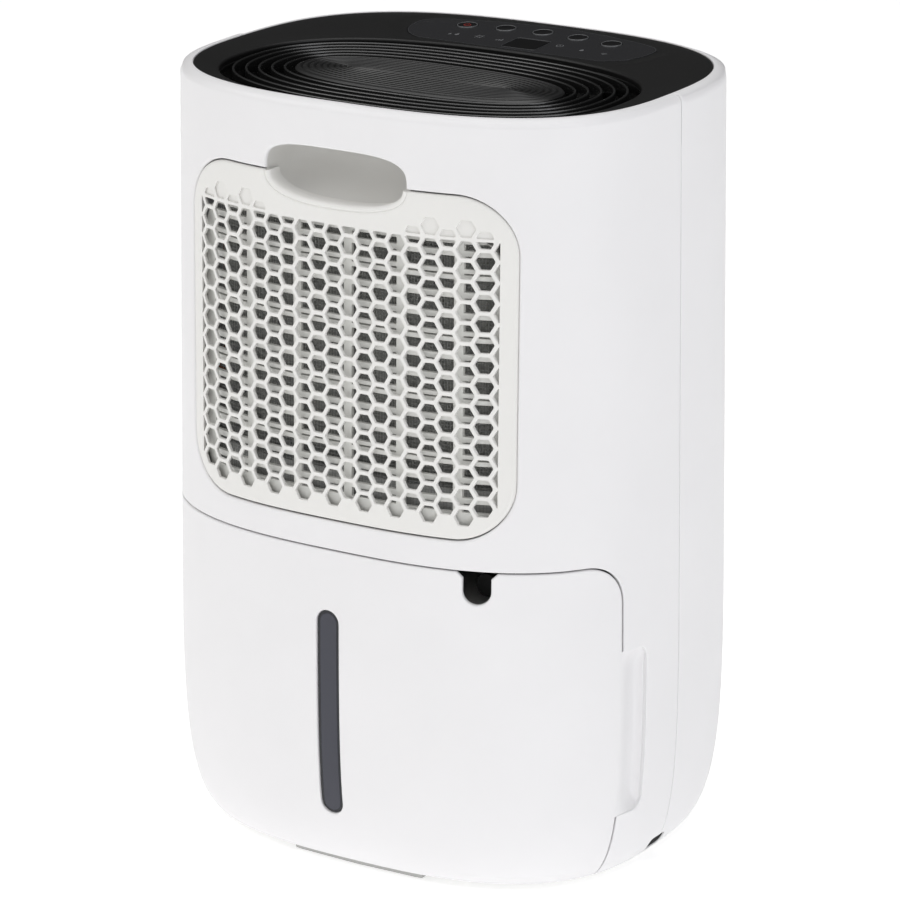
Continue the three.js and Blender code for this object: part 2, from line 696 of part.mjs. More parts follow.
// ---- Tank ------------------------------------------------------------------------------------
// A finger scoop on one side of the tank: a strip that curves in behind the front panel's edge.
function tankGrip(side) {
  const thickness = 2.2;
  const depths = span(TANK_EDGE_Y - 2, GRIP_BACK_Y - 2, 5);
  const levels = [GRIP_LOW_Z + 2, 60, 80, 105, GRIP_HIGH_Z - 2];
  const rings = levels.map((z) => {
    const outside = depths.map((y, i) => {
      const inset = 0.3 + GRIP_DEPTH * (1 - Math.cos(i / (depths.length - 1) * Math.PI / 2));
      return [rearWallX(y, z) - inset, y, z];
    });
    const inside = outside.map(([x, y]) => [x - thickness, y, z]).reverse();
    const ring = [...outside, ...inside];
    return side > 0 ? ring : ring.map(([x, y]) => [-x, y, z]).reverse();
  });
  return loft(rings);
}

function tankFront() {
  return casingLayer(0, WALL, UNDERSIDE_Z, TANK_TOP_Z + 2)
    .intersect(tankBay(0))
    .subtract(solidOf(throughY(windowOutline(0.3), ...REAR_SIDE)))
    .subtract(hoseNotch())
    .add(tankGrip(1))
    .add(tankGrip(-1));
}

function tankBucket() {
  const behind = (y) => box([-FAR, FAR], [-FAR, y], [0, FAR]);
  const outer = casingCore(BUCKET_INSET, BUCKET_BOTTOM_Z, BUCKET_TOP_Z).intersect(behind(TANK_BACK_Y));
  const inner = casingCore(BUCKET_INSET + BUCKET_WALL, BUCKET_BOTTOM_Z + BUCKET_WALL, BUCKET_TOP_Z + 20)
    .intersect(behind(TANK_BACK_Y - BUCKET_WALL));
  return outer.subtract(inner);
}

const LID_LOW_Z = BUCKET_TOP_Z + GAP;
const LID_HIGH_Z = LID_LOW_Z + 2.6;
const SPOUT = [0, -60];
const PIN = { x: [56, 88], y: -48, z: 168, radius: 2 };

function tankLid() {
  const plate = casingCore(BUCKET_INSET, LID_LOW_Z, LID_HIGH_Z)
    .intersect(box([-FAR, FAR], [-FAR, TANK_BACK_Y], [0, FAR]));
  const inlet = bar('z', 15, 170, 190, SPOUT, 20);
  const lugs = [58, 83].map((x) => {
    const lug = box([x, x + 3], [PIN.y - 5, PIN.y + 5], [PIN.z - 5, LID_LOW_Z + 0.5]);
    return lug.subtract(bar('x', PIN.radius + 0.4, x - 1, x + 4, [PIN.y, PIN.z], 12));
  });
  return joined([plate.subtract(inlet), ...lugs]);
}

function tankFloat() {
  const block = box([62.5, 81.5], [-97, -70], [142, 166]);
  const arm = box([69, 75], [-80, PIN.y], [165, 171]);
  const eye = bar('x', 5, 63, 81, [PIN.y, PIN.z], 14);
  const bore = bar('x', PIN.radius + 0.4, 60, 84, [PIN.y, PIN.z], 12);
  return joined([block, arm, eye]).subtract(bore);
}

function levelWindow() {
  return rearPatch(windowOutline(0), 1.4, BUCKET_INSET - 0.6, WINDOW_LOW_Z - 8, WINDOW_HIGH_Z + 8);
}

// ---- Between the tank and the coils ----------------------------------------------------------
function bayPartition() {
  return casingCore(WALL + 0.8, 9.4, DECK_Z - GAP)
    .intersect(box([-FAR, FAR], [PARTITION_Y, PARTITION_Y + 2], [0, FAR]));
}

function dripTray() {
  const rimInset = 11.5;
  const height = 44;
  const backY = 22;
  const outer = casingCore(rimInset, DECK_Z, DECK_Z + height)
    .intersect(box([-FAR, FAR], [-FAR, backY], [0, FAR]));
  const inner = casingCore(rimInset + 2, DECK_Z + 2.4, DECK_Z + height + 5)
    .intersect(box([-FAR, FAR], [-FAR, backY - 2], [0, FAR]));
  const pipeGap = box([-FAR, FAR], [-40, backY + 5], [DECK_Z + 10, FAR]);
  const spout = bar('z', 7, LID_HIGH_Z + 2, DECK_Z + 1, SPOUT, 14);
  const drain = bar('z', 4.5, LID_HIGH_Z, DECK_Z + 5, SPOUT, 10);
  return outer.subtract(inner).subtract(pipeGap).add(spout).subtract(drain);
}

const SPIGOT_Z = 194;

function drainSpigot() {
  const tube = bar('y', 6, -105.6, -88, [NOTCH_X, SPIGOT_Z], 14);
  const riser = bar('z', 6, SPIGOT_Z, DECK_Z - GAP, [NOTCH_X, -93], 14);
  const bore = bar('y', 4, -108, -91, [NOTCH_X, SPIGOT_Z], 10);
  return tube.add(riser).subtract(bore);
}

function drainCap() {
  const cap = bar('y', 7, -110, -106, [NOTCH_X, SPIGOT_Z], 14);
  const plug = bar('y', 3.4, -107, -100, [NOTCH_X, SPIGOT_Z], 10);
  return cap.add(plug);
}

const LEVER = { x: [-58.5, -41], y: [-36, -32], z: [186.5, 187.1] };

function tankSwitch() {
  const body = box([-62, -40], [-38, -28.4], [190, 203]);
  const bracket = box([-62, -59], [-38, -28.4], [185, 191]);
  return body.add(bracket);
}

// ---- Refrigeration ---------------------------------------------------------------------------
// A coil block: fin comb on both faces, with return bends along one side.
function coil(backY) {
  const teeth = 10;
  const grooveDepth = 2;
  const frontY = backY + COIL.thickness;
  const pitch = 2 * COIL.halfWidth / teeth;
  const shape = new THREE.Shape();
  shape.moveTo(-COIL.halfWidth, frontY);
  for (let i = 0; i < teeth; i += 1) {
    const x = -COIL.halfWidth + i * pitch;
    shape.lineTo(x, backY);
    shape.lineTo(x + pitch * 0.6, backY);
    shape.lineTo(x + pitch * 0.6, backY + grooveDepth);
    shape.lineTo(x + pitch, backY + grooveDepth);
  }
  shape.lineTo(COIL.halfWidth, frontY);
  const block = solidOf(throughZ(shape, COIL.lowZ, COIL.highZ));
  const bends = span(COIL.lowZ + 28, COIL.highZ - 28, 3).map((z) => {
    const x = COIL.halfWidth - 1;
    const y = backY + COIL.thickness / 2;
    const bend = [[0, -10], [7, -9], [12, 0], [7, 9], [0, 10]];
    return pipe(bend.map(([reach, rise]) => [x + reach, y, z + rise]), 3, 6, 6);
  });
  return joined([block, ...bends]);
}

function compressorBody() {
  const { x, y, radius, lowZ, highZ } = COMPRESSOR;
  const can = turned([
    [0, lowZ], [radius - 14, lowZ + 1], [radius, lowZ + 12], [radius, highZ - 22],
    [radius - 10, highZ - 8], [radius - 28, highZ], [0, highZ],
  ], [x, y]);
  const feet = COMPRESSOR_FEET.map((degrees) => {
    const angle = THREE.MathUtils.degToRad(degrees);
    const reach = radius + 12;
    return bar('z', 9, lowZ, lowZ + 3, [x + reach * Math.cos(angle), y + reach * Math.sin(angle)], 12);
  });
  const plate = turned([[0, lowZ], [radius + 8, lowZ], [radius + 8, lowZ + 3], [0, lowZ + 3]], [x, y]);
  return joined([can, plate, ...feet]);
}

function compressorMount(degrees) {
  const { x, y, radius, lowZ } = COMPRESSOR;
  const angle = THREE.MathUtils.degToRad(degrees);
  const place = [x + (radius + 12) * Math.cos(angle), y + (radius + 12) * Math.sin(angle)];
  return turned([[0, 9.4], [8, 9.4], [6, 16], [8, lowZ - GAP], [0, lowZ - GAP]], place, 14);
}

const ACCUMULATOR = { x: 44, y: 46, radius: 17, lowZ: 60, highZ: 180 };

function accumulator() {
  const { x, y, radius, lowZ, highZ } = ACCUMULATOR;
  return turned([
    [0, lowZ], [radius - 6, lowZ + 4], [radius, lowZ + 14], [radius, highZ - 14],
    [radius - 6, highZ - 4], [0, highZ],
  ], [x, y], 14);
}

const COIL_PIPE_X = -COIL.halfWidth - GAP;
const EVAPORATOR_MIDDLE_Y = EVAPORATOR_Y + COIL.thickness / 2;
const CONDENSER_MIDDLE_Y = CONDENSER_Y + COIL.thickness / 2;

function dischargePipe() {
  const { x, y, highZ } = COMPRESSOR;
  return pipe([
    [x, y, highZ + GAP], [x, y, 225], [x - 20, y, 240], [-100, 48, 244], [-116, 36, 262],
    [-117, 0, 290], [-117, CONDENSER_MIDDLE_Y + 14, 300], [-110, CONDENSER_MIDDLE_Y, 300],
    [COIL_PIPE_X, CONDENSER_MIDDLE_Y, 300],
  ], 3.2, 14, 6);
}

function suctionPipe() {
  const { x, y, highZ } = ACCUMULATOR;
  return pipe([
    [x, y, highZ + GAP], [x, y, 215], [x + 20, y + 4, 232], [96, 50, 236], [122, 36, 262],
    [125, 0, 320], [122, -55, 348], [COIL.halfWidth + 10, EVAPORATOR_MIDDLE_Y, 355],
    [-COIL_PIPE_X, EVAPORATOR_MIDDLE_Y, 355],
  ], 4, 14, 6);
}

const DRIER = { x: -114, y: -62, radius: 8, lowZ: 322, highZ: 372 };

function filterDrier() {
  const { x, y, radius, lowZ, highZ } = DRIER;
  return turned([
    [0, lowZ], [3, lowZ + 1], [radius, lowZ + 9], [radius, highZ - 9], [3, highZ - 1], [0, highZ],
  ], [x, y], 12);
}

function capillaryTube() {
  const { x, y, lowZ } = DRIER;
  return pipe([
    [x, y, lowZ - GAP], [x, y - 1, 312], [x + 1, y - 10, 300], [x + 2, EVAPORATOR_MIDDLE_Y, 290],
    [x + 8, EVAPORATOR_MIDDLE_Y, 286], [COIL_PIPE_X, EVAPORATOR_MIDDLE_Y, 286],
  ], 1.5, 10, 6);
}

// ---- Fan -------------------------------------------------------------------------------------
// The scroll casing seen from the intake side: a round drum that opens into a duct at the top.
function scrollOutline(margin) {
  const radius = FAN_RADIUS + 12 + margin;
  const shape = new THREE.Shape();
  shape.moveTo(radius, FAN_Z);
  shape.lineTo(radius, 449 + margin);
  shape.lineTo(-radius * 0.62, 449 + margin);
  shape.lineTo(-radius * 0.62, FAN_Z + radius * 0.784);
  shape.absarc(0, FAN_Z, radius, Math.PI * 0.713, 2 * Math.PI, false);
  return shape;
}

function fanHousing() {
  const wall = 2;
  const inside = [HOUSING_Y + wall, HOUSING_Y + HOUSING_DEPTH - wall];
  const shell = solidOf(throughY(scrollOutline(wall), HOUSING_Y, HOUSING_Y + HOUSING_DEPTH, 9));
  const hollow = solidOf(throughY(scrollOutline(0), ...inside, 9));
  const mouth = box([-FAN_RADIUS * 0.7, FAN_RADIUS + 12], inside, [440, 460]);
  const inlet = bar('y', 56, HOUSING_Y - 2, HOUSING_Y + 6, [0, FAN_Z], 28);
  const motorHole = bar('y', 12, HOUSING_Y + 40, HOUSING_Y + 60, [0, FAN_Z], 16);
  return shell.subtract(joined([hollow, mouth, inlet, motorHole]));
}

// The fan wheel about its own axis: back disc, hub, curved-in blades and a front ring.
function fanWheel() {
  const blades = 14;
  const depth = 42;
  const disc = bar('y', FAN_RADIUS, depth - 2, depth, [0, 0], 24);
  const hub = bar('y', 9, depth - 20, depth + 0.5, [0, 0], 14);
  const eye = bar('y', FAN_RADIUS - 13, -1, 3, [0, 0], 24);
  const ring = bar('y', FAN_RADIUS, 0, 2, [0, 0], 24).subtract(eye);
  const vanes = Array.from({ length: blades }, (_, i) => {
    const geometry = boxGeometry([-5.5, 5.5], [1, depth - 1], [-0.6, 0.6]);
    geometry.rotateY(THREE.MathUtils.degToRad(35));
    geometry.translate(FAN_RADIUS - 7, 0, 0);
    geometry.rotateY(2 * Math.PI * i / blades);
    return solidOf(geometry);
  });
  const bore = bar('y', SHAFT_RADIUS + 0.4, depth - 25, depth + 5, [0, 0], 12);
  return joined([disc, hub, ring, ...vanes]).subtract(bore);
}

function fanMotor() {
  const low = HOUSING_Y + HOUSING_DEPTH + GAP;
  const can = bar('y', 40, low, low + 36, [0, FAN_Z], 24);
  const endBell = bar('y', 16, low + 35.9, low + 42, [0, FAN_Z], 16);
  const bore = bar('y', SHAFT_RADIUS + 0.5, low - 1, low + 32, [0, FAN_Z], 12);
  return can.add(endBell).subtract(bore);
}

// ---- Electronics -----------------------------------------------------------------------------
function powerBoard() {
  const board = box([-40, 70], [98, 99.8], [228, 380]);
  const parts = [
    box([-30, 5], [84, 98.2], [240, 272]),
    box([20, 44], [80, 98.2], [246, 268]),
    box([-24, -6], [86, 98.2], [300, 330]),
    box([22, 58], [90, 98.2], [340, 352]),
  ];
  return joined([board, ...parts]);
}

// ---- The object ------------------------------------------------------------------------------
const dehumidifier = new THREE.Group();
const casing = new THREE.Group();
const controls = new THREE.Group();
const airIntake = new THREE.Group();
const tank = new THREE.Group();
const cooling = new THREE.Group();
const fan = new THREE.Group();
const electronics = new THREE.Group();
dehumidifier.add(casing, controls, airIntake, tank, cooling, fan, electronics);

const tube = casingTube();
part('front_shell', frontShell(tube), whitePlastic, casing);
part('rear_shell', rearShell(tube), whitePlastic, casing);
part('base_tray', baseTray(), greyPlastic, casing);
part('foot_strip_rear', footStrip(-1), greyPlastic, casing);
part('foot_strip_front', footStrip(1), greyPlastic, casing);
SCREW_PLACES.forEach((place, i) => part(`base_screw_${i + 1}`, baseScrew(place), steel, casing));
part('cord_gland', cordGland(), rubber, casing);
part('top_cover', topCover(), blackPlastic, casing);
part('outlet_grille', outletGrille(), blackPlastic, casing);
part('outlet_plate', outletPlate(), blackPlastic, casing);
part('hand_pocket', handPocket(), whitePlastic, casing);

part('control_panel', controlPanel(), panelGloss, controls);
part('display_window', displayWindow(), windowPlastic, controls);
BUTTON_NAMES.forEach((name, i) => part(name, pushButton(BUTTON_PLACES[i]), panelGloss, controls));
part('control_board', controlBoard(), circuitBoard, controls);

part('intake_grille', intakeGrille(), grillePlastic, airIntake);
part('filter_frame', filterFrame(), greyPlastic, airIntake);
part('filter_net', filterNet(), filterNylon, airIntake);

part('tank_front', tankFront(), whitePlastic, tank);
part('tank_bucket', tankBucket(), tankPlastic, tank);
part('tank_lid', tankLid(), greyPlastic, tank);
part('level_window', levelWindow(), windowPlastic, tank);
part('tank_float', tankFloat(), whitePlastic, tank);
part('float_pin', bar('x', PIN.radius, ...PIN.x, [PIN.y, PIN.z], 12), steel, tank);

part('bay_partition', bayPartition(), greyPlastic, cooling);
part('drip_tray', dripTray(), greyPlastic, cooling);
part('drain_spigot', drainSpigot(), blackPlastic, cooling);
part('drain_cap', drainCap(), rubber, cooling);
part('tank_switch', tankSwitch(), blackPlastic, cooling);
part('switch_lever', box(LEVER.x, LEVER.y, LEVER.z), steel, cooling);
part('evaporator_coil', coil(EVAPORATOR_Y), coilAluminium, cooling);
part('condenser_coil', coil(CONDENSER_Y), coilAluminium, cooling);
part('compressor', compressorBody(), enamel, cooling);
COMPRESSOR_FEET.forEach((degrees, i) => (
  part(`compressor_mount_${i + 1}`, compressorMount(degrees), rubber, cooling)));
part('accumulator', accumulator(), enamel, cooling);
part('discharge_pipe', dischargePipe(), copper, cooling);
part('suction_pipe', suctionPipe(), copper, cooling);
part('capillary_tube', capillaryTube(), copper, cooling);
part('filter_drier', filterDrier(), copper, cooling);

part('fan_housing', fanHousing(), greyPlastic, fan);
const impeller = part('fan_impeller', fanWheel(), blackPlastic, fan);
impeller.position.set(0, HOUSING_Y + 5, FAN_Z);
const shaft = part('fan_shaft', bar('y', SHAFT_RADIUS, 0, 64, [0, 0], 12), steel, fan);
shaft.position.set(0, HOUSING_Y + 22, FAN_Z);
part('fan_motor', fanMotor(), steel, fan);

part('power_board', powerBoard(), circuitBoard, electronics);
part('run_capacitor', bar('z', 17, 226, 296, [92, 82], 14), greyPlastic, electronics);
part('humidity_sensor', box([108, 122], [-70, -56], [396, 404]), circuitBoard, electronics);

export default dehumidifier;
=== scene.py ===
"""Dehumidifier: the visual model, its materials, soft studio light and the camera.

Sizes are in millimetres in the row frame, and become metres when a mesh is made. -Y is the side
with the intake grille and the tank, +Y the side with the buttons, +Z is up.
"""
from math import acos, asin, ceil, copysign, cos, pi, radians, sin, sqrt, tan

import bpy
import numpy as np
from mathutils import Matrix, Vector
from mathutils.geometry import delaunay_2d_cdt
from mathutils.kdtree import KDTree


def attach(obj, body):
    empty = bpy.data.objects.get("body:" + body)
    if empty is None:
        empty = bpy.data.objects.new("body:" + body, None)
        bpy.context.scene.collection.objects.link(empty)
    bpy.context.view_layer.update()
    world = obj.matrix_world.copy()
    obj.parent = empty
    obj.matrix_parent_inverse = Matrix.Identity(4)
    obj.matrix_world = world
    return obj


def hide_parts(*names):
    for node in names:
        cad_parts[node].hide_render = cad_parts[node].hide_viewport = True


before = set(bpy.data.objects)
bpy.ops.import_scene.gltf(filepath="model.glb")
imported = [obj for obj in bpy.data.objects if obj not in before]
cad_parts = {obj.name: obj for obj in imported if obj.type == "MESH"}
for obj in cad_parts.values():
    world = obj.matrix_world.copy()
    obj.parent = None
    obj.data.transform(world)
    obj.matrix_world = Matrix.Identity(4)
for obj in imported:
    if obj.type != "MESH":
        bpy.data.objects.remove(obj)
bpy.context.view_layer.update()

MM = 0.001

# ---- Driving dimensions, most of them the same as the CAD model's ----
STEP = 3.0                  # the longest stretch of an outline between two points
HEIGHT = 470.0
RIM_HALF_WIDTH = 155.0
RIM_REAR_DEPTH = 122.8
RIM_FRONT_DEPTH = 134.6
REAR_POWER = 2.75
FRONT_POWER = 2.87
DRAFT = 0.01265
WAIST_Y = -5.9
SEAM_Y = WAIST_Y + 3.0
TUCK_TOP_Z = 201.9
TUCK_HEIGHT = 201.7
TUCK_DEPTH = 41.9
UNDERSIDE_Z = 5.0
RIM_FILLET = 4.5
RIM_WIDTH = 6.9
WALL = 2.6
SEAM_GAP = 0.8

TANK_EDGE_Y = WAIST_Y - 54.0
TANK_TOP_Z = 204.4
TANK_TOP_Y = -112.0         # where the sides' paths end and the rear wall's begins
TANK_CORNER = 24.0
TANK_GAP = 1.0
GRIP_LOW_Z = 46.0
GRIP_HIGH_Z = 149.0
GRIP_BACK_Y = WAIST_Y - 32.6
WINDOW_X = -4.3
WINDOW_WIDTH = 15.0
WINDOW_LOW_Z = 38.5
WINDOW_HIGH_Z = 167.0
NOTCH_X = 91.3
NOTCH_WIDTH = 16.0
NOTCH_LOW_Z = 185.0

GRILLE_HALF_WIDTH = 111.0
GRILLE_LOW_Z = 223.5
GRILLE_HIGH_Z = 425.5
GRILLE_CORNER = 34.0
GRILLE_GAP = 0.9
GRILLE_WALL = 2.2
HAND_HALF_WIDTH = 48.0
HAND_LOW_Z = 409.5
HAND_HIGH_Z = 443.5
CELL_PITCH = 12.13          # the real pitch of the honeycomb, from row to row
CELL_COLUMN = 10.45
CELL_OPENING = 9.9
CELL_COLUMNS = 10
CELL_FIRST_Z = 237.2        # the lowest row of the even columns
FIELD_HALF_WIDTH = 102.0
FIELD_TOP_Z = 400.0
BLIND_DEPTH = 1.3
BLIND_SPAN = (50.0, 96.0)   # the blind cells lie this far out, on both sides
BLIND_GAP = 1.8
CELL_LEAST = 2.0            # a cell cut down to less than this height is left out

TRACK_Y = WAIST_Y - 22.0
TRACK_POWER = 2.44
OUTLET = (128.5, 85.0)
OUTER_BLADE = (122.0, 74.7)
INNER_BLADE = (93.2, 43.4)
PLATE = (87.6, 36.7)
BLADES = 5
BLADE_WIDTH = 1.5
OUTLET_TOP_Z = 466.0
OUTLET_RIB_Z = 459.5
COVER_INSET = RIM_WIDTH + 0.3

PANEL_NEAR_Y = 58.5
PANEL_FAR_Y = 114.0
PANEL_HALF_WIDTH = 83.0
PANEL_SLOPE = 0.0545
BUTTON_PITCH = 25.4
BUTTON_ROW_Y = 102.0
BUTTON_ROW_BOW = 0.0019
BUTTON_RADIUS = 6.2
BUTTONS = ("power", "mode", "humidity", "fan", "timer")
DISPLAY = (4.4, 75.0, 22.0, 20.0)       # centre, then width and depth


# ---- Flat outlines ----
def rounded(points, radius, closed=True):
    """The polygon through points with every corner rounded; a point may bring its own radius."""
    count = len(points)
    path = []
    for i, point in enumerate(points):
        here = np.array(point[:2], float)
        size = point[2] if len(point) > 2 else radius
        if size <= 0 or (not closed and i in (0, count - 1)):
            path.append(here)
            continue
        back = np.array(points[i - 1][:2], float) - here
        ahead = np.array(points[(i + 1) % count][:2], float) - here
        reach_back, reach_ahead = np.linalg.norm(back), np.linalg.norm(ahead)
        back, ahead = back / reach_back, ahead / reach_ahead
        half = acos(np.clip(back @ ahead, -1, 1)) / 2
        if half > radians(89):
            path.append(here)
            continue
        reach = min(size / tan(half), 0.49 * reach_back, 0.49 * reach_ahead)
        size = reach * tan(half)
        middle = (back + ahead) / np.linalg.norm(back + ahead) * size / sin(half)
        start, end = here + back * reach, here + ahead * reach
        steps = max(2, int(size * (pi - 2 * half) / 1.2) + 1)
        for k in range(steps + 1):
            arm = (start - here - middle) * (1 - k / steps) + (end - here - middle) * k / steps
            path.append(here + middle + arm / np.linalg.norm(arm) * size)
    return np.array(path)


def densified(path, step=STEP, closed=True):
    """The same path with points added so that no stretch is longer than step."""
    ends = np.roll(path, -1, axis=0) if closed else path[1:]
    made = []
    for start, end in zip(path, ends):
        pieces = max(1, ceil(np.linalg.norm(end - start) / step))
        made += [start + (end - start) * k / pieces for k in range(pieces)]
    if not closed:
        made.append(path[-1])
    return np.array(made)


def rectangle(x0, x1, y0, y1, radius):
    return rounded([(x0, y0), (x1, y0), (x1, y1), (x0, y1)], radius)


def around(x, y, radius, turn):
    """The points at those angles on a circle."""
    return np.stack([x + radius * np.cos(turn), y + radius * np.sin(turn)], 1)


def clipped(path, axis, limit, keep_below):
    """The part of a convex polygon on one side of a line across an axis."""
    kept = []
    for start, end in zip(path, np.roll(path, -1, axis=0)):
        inside_start = (start[axis] <= limit) == keep_below
        inside_end = (end[axis] <= limit) == keep_below
        if inside_start:
            kept.append(start)
        if inside_start != inside_end:
            share = (limit - start[axis]) / (end[axis] - start[axis])
            kept.append(start + (end - start) * share)
    return np.array(kept)


def unit(vectors):
    return vectors / np.linalg.norm(vectors, axis=1)[:, None]


def run_along(path):
    """The distance along an open path to each of its points."""
    return np.concatenate([[0], np.cumsum(np.linalg.norm(np.diff(path, axis=0), axis=1))])


def evenly(path, count, endpoint=True):
    """Points spaced evenly along an open path."""
    run = run_along(path)
    places = np.linspace(0, run[-1], count, endpoint=endpoint)
    return np.stack([np.interp(places, run, path[:, k]) for k in (0, 1)], 1)


def evened(path, step):
    """A closed path with its points spaced evenly."""
    ends = np.concatenate([path, path[:1]])
    return evenly(ends, max(12, int(run_along(ends)[-1] / step)), endpoint=False)


def superellipse(turn, half_x, half_y, power):
    """Points of a superellipse about the origin."""
    cosine, sine = np.cos(turn), np.sin(turn)
    return np.stack([half_x * np.sign(cosine) * np.abs(cosine) ** (2 / power),
                     half_y * np.sign(sine) * np.abs(sine) ** (2 / power)], 1)


def left_normals(path):
    """At each point of a closed path, the offset that moves its edges left by one."""
    ahead = unit(np.roll(path, -1, axis=0) - path)
    behind = np.roll(ahead, 1, axis=0)
    total = ahead + behind
    total = np.stack([-total[:, 1], total[:, 0]], 1)
    return total / np.maximum(1 + (ahead * behind).sum(1), 0.35)[:, None]


def inside(points, loops):
    """Which points lie inside an odd number of the closed loops."""
    starts = np.concatenate(loops)
    ends = np.concatenate([np.roll(loop, -1, axis=0) for loop in loops])
    found = np.zeros(len(points), bool)
    for low in range(0, len(points), 1500):
        x, y = points[low:low + 1500, 0:1], points[low:low + 1500, 1:2]
        spans = (starts[:, 1] > y) != (ends[:, 1] > y)
        rise = ends[:, 1] - starts[:, 1]
        rise = np.where(rise == 0, 1e-9, rise)
        cross = starts[:, 0] + (y - starts[:, 1]) / rise * (ends[:, 0] - starts[:, 0])
        found[low:low + 1500] = (spans & (x < cross)).sum(1) % 2 == 1
    return found


def filled(loops, grid):
    """Triangles between closed loops, and the extra grid points they use."""
    border = np.concatenate(loops)
    near = KDTree(len(border))
    for i, point in enumerate(border):
        near.insert((point[0], point[1], 0), i)
    near.balance()
    low, high = border.min(0), border.max(0)
    columns = np.arange(low[0] + grid / 2, high[0], grid)
    rows = np.arange(low[1] + grid / 2, high[1], grid * 0.87)
    extra = np.array([(x + (grid / 2 if j % 2 else 0), y) for j, y in enumerate(rows) for x in columns])
    extra = extra.reshape(-1, 2)
    extra = extra[inside(extra, loops)]
    extra = extra[np.array([near.find((x, y, 0))[2] > grid * 0.5 for x, y in extra], bool)]
    points = np.concatenate([border, extra])
    edges, first = [], 0
    for loop in loops:
        count = len(loop)
        edges += [(first + i, first + (i + 1) % count) for i in range(count)]
        first += count
    cdt = delaunay_2d_cdt([Vector(p) for p in points], edges, [], 0, 1e-6)
    origin = {i: ids[0] for i, ids in enumerate(cdt[3]) if ids}
    faces = [[origin.get(i, -1) for i in face] for face in cdt[2]]
    faces = np.array([face for face in faces if min(face) >= 0])
    a, b, c = points[faces[:, 0]], points[faces[:, 1]], points[faces[:, 2]]
    area = (b[:, 0] - a[:, 0]) * (c[:, 1] - a[:, 1]) - (b[:, 1] - a[:, 1]) * (c[:, 0] - a[:, 0])
    faces[area < 0] = faces[area < 0][:, ::-1]
    keep = inside((a + b + c) / 3, loops) & (np.abs(area) > 1e-7)
    return faces[keep], extra


# ---- Curved surfaces that flat outlines are laid on ----
def bottom_tuck(z):
    depth = np.clip((TUCK_TOP_Z - z) / TUCK_HEIGHT, 0, 1)
    return TUCK_DEPTH * (1 - (1 - depth ** 4) ** 0.25)


def half_width(z):
    return RIM_HALF_WIDTH + DRAFT * (HEIGHT - z) - bottom_tuck(z)


def rear_depth(z):
    return RIM_REAR_DEPTH + DRAFT * (HEIGHT - z) - bottom_tuck(z)


def plan_ring(angle, width, rear):
    """Points of the casing's plan outline; the angle is 0 at -Y and grows towards +X."""
    front = rear + RIM_FRONT_DEPTH - RIM_REAR_DEPTH
    sine, cosine = np.sin(angle), np.cos(angle)
    power = np.where(cosine >= 0, REAR_POWER, FRONT_POWER)
    depth = np.where(cosine >= 0, rear, front)
    radius = (np.abs(sine / width) ** power + np.abs(cosine / depth) ** power) ** (-1 / power)
    return radius * sine, WAIST_Y - radius * cosine


ANGLES = np.linspace(-pi, 3 * pi, 16001)
PLAN = np.stack(plan_ring(ANGLES, RIM_HALF_WIDTH + 2, RIM_REAR_DEPTH + 2), 1)
ALONG = run_along(PLAN)
ALONG -= np.interp(0, ANGLES, ALONG)

WALL_TOP = HEIGHT - RIM_FILLET
RIM_START = WALL_TOP + RIM_FILLET * pi / 2
RIM_END = RIM_START + RIM_WIDTH - RIM_FILLET


def profile(up):
    """Height and inset of the casing's section: the wall, the rim's rounding, the rim's flat top."""
    turn = np.clip((up - WALL_TOP) / RIM_FILLET, 0, pi / 2)
    z = np.minimum(up, WALL_TOP) + RIM_FILLET * np.sin(turn)
    inset = RIM_FILLET * (1 - np.cos(turn)) + np.maximum(up - RIM_START, 0)
    return z, inset


def casing_at(inset):
    """The casing's surface moved in; it places (along, up) points."""
    def surface(points):
        z, rim = profile(points[:, 1])
        angle = np.interp(points[:, 0], ALONG, ANGLES)
        x, y = plan_ring(angle, half_width(z) - rim - inset, rear_depth(z) - rim - inset)
        return np.stack([x, y, z], 1)
    return surface


casing = casing_at(0)


def from_rear(path):
    """A path in X and Z, seen from the rear, as a path on the casing."""
    x, up = path[:, 0], path[:, 1]
    z, inset = profile(up)
    width, depth = half_width(z) - inset, rear_depth(z) - inset
    share = np.minimum(np.abs(x) / width, 1)
    reach = depth * (1 - share ** REAR_POWER) ** (1 / REAR_POWER)
    return np.stack([np.interp(np.arctan2(x, reach), ANGLES, ALONG), up], 1)


def from_side(path, side):
    """A path in Y and Z, seen from the +X side (1) or the -X side (-1), as a path on the casing."""
    back, up = WAIST_Y - path[:, 0], path[:, 1]
    z, inset = profile(up)
    width, rear = half_width(z) - inset, rear_depth(z) - inset
    depth = np.where(back >= 0, rear, rear + RIM_FRONT_DEPTH - RIM_REAR_DEPTH)
    power = np.where(back >= 0, REAR_POWER, FRONT_POWER)
    share = np.minimum(np.abs(back) / depth, 1)
    reach = width * (1 - share ** power) ** (1 / power)
    return np.stack([side * np.interp(np.arctan2(reach, back), ANGLES, ALONG), up], 1)


def frame_at(surface, points):
    """Surface points with their outward normals and their two tangents."""
    step = 0.05
    along = surface(points + [step, 0]) - surface(points - [step, 0])
    up = surface(points + [0, step]) - surface(points - [0, step])
    return surface(points), unit(np.cross(along, up)), along / (2 * step), up / (2 * step)


# ---- Meshes ----
def in_scene(name, data):
    thing = bpy.data.objects.new(name, data)
    bpy.context.scene.collection.objects.link(thing)
    return thing


def add_piece(name, shape, body, slot, *replaced, look=None):
    """Puts a shape in the scene, on a body. Its material is the slot's, unless look names another."""
    mesh = shape.mesh(name)
    mesh.materials.append(finishes[look or slot])
    piece = in_scene(name, mesh)
    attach(piece, body)
    if replaced:
        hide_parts(*replaced)


def new_mesh(name, points, faces):
    mesh = bpy.data.meshes.new(name)
    mesh.from_pydata((points * MM).tolist(), [], faces)
    mesh.polygons.foreach_set("use_smooth", [True] * len(mesh.polygons))
    return mesh


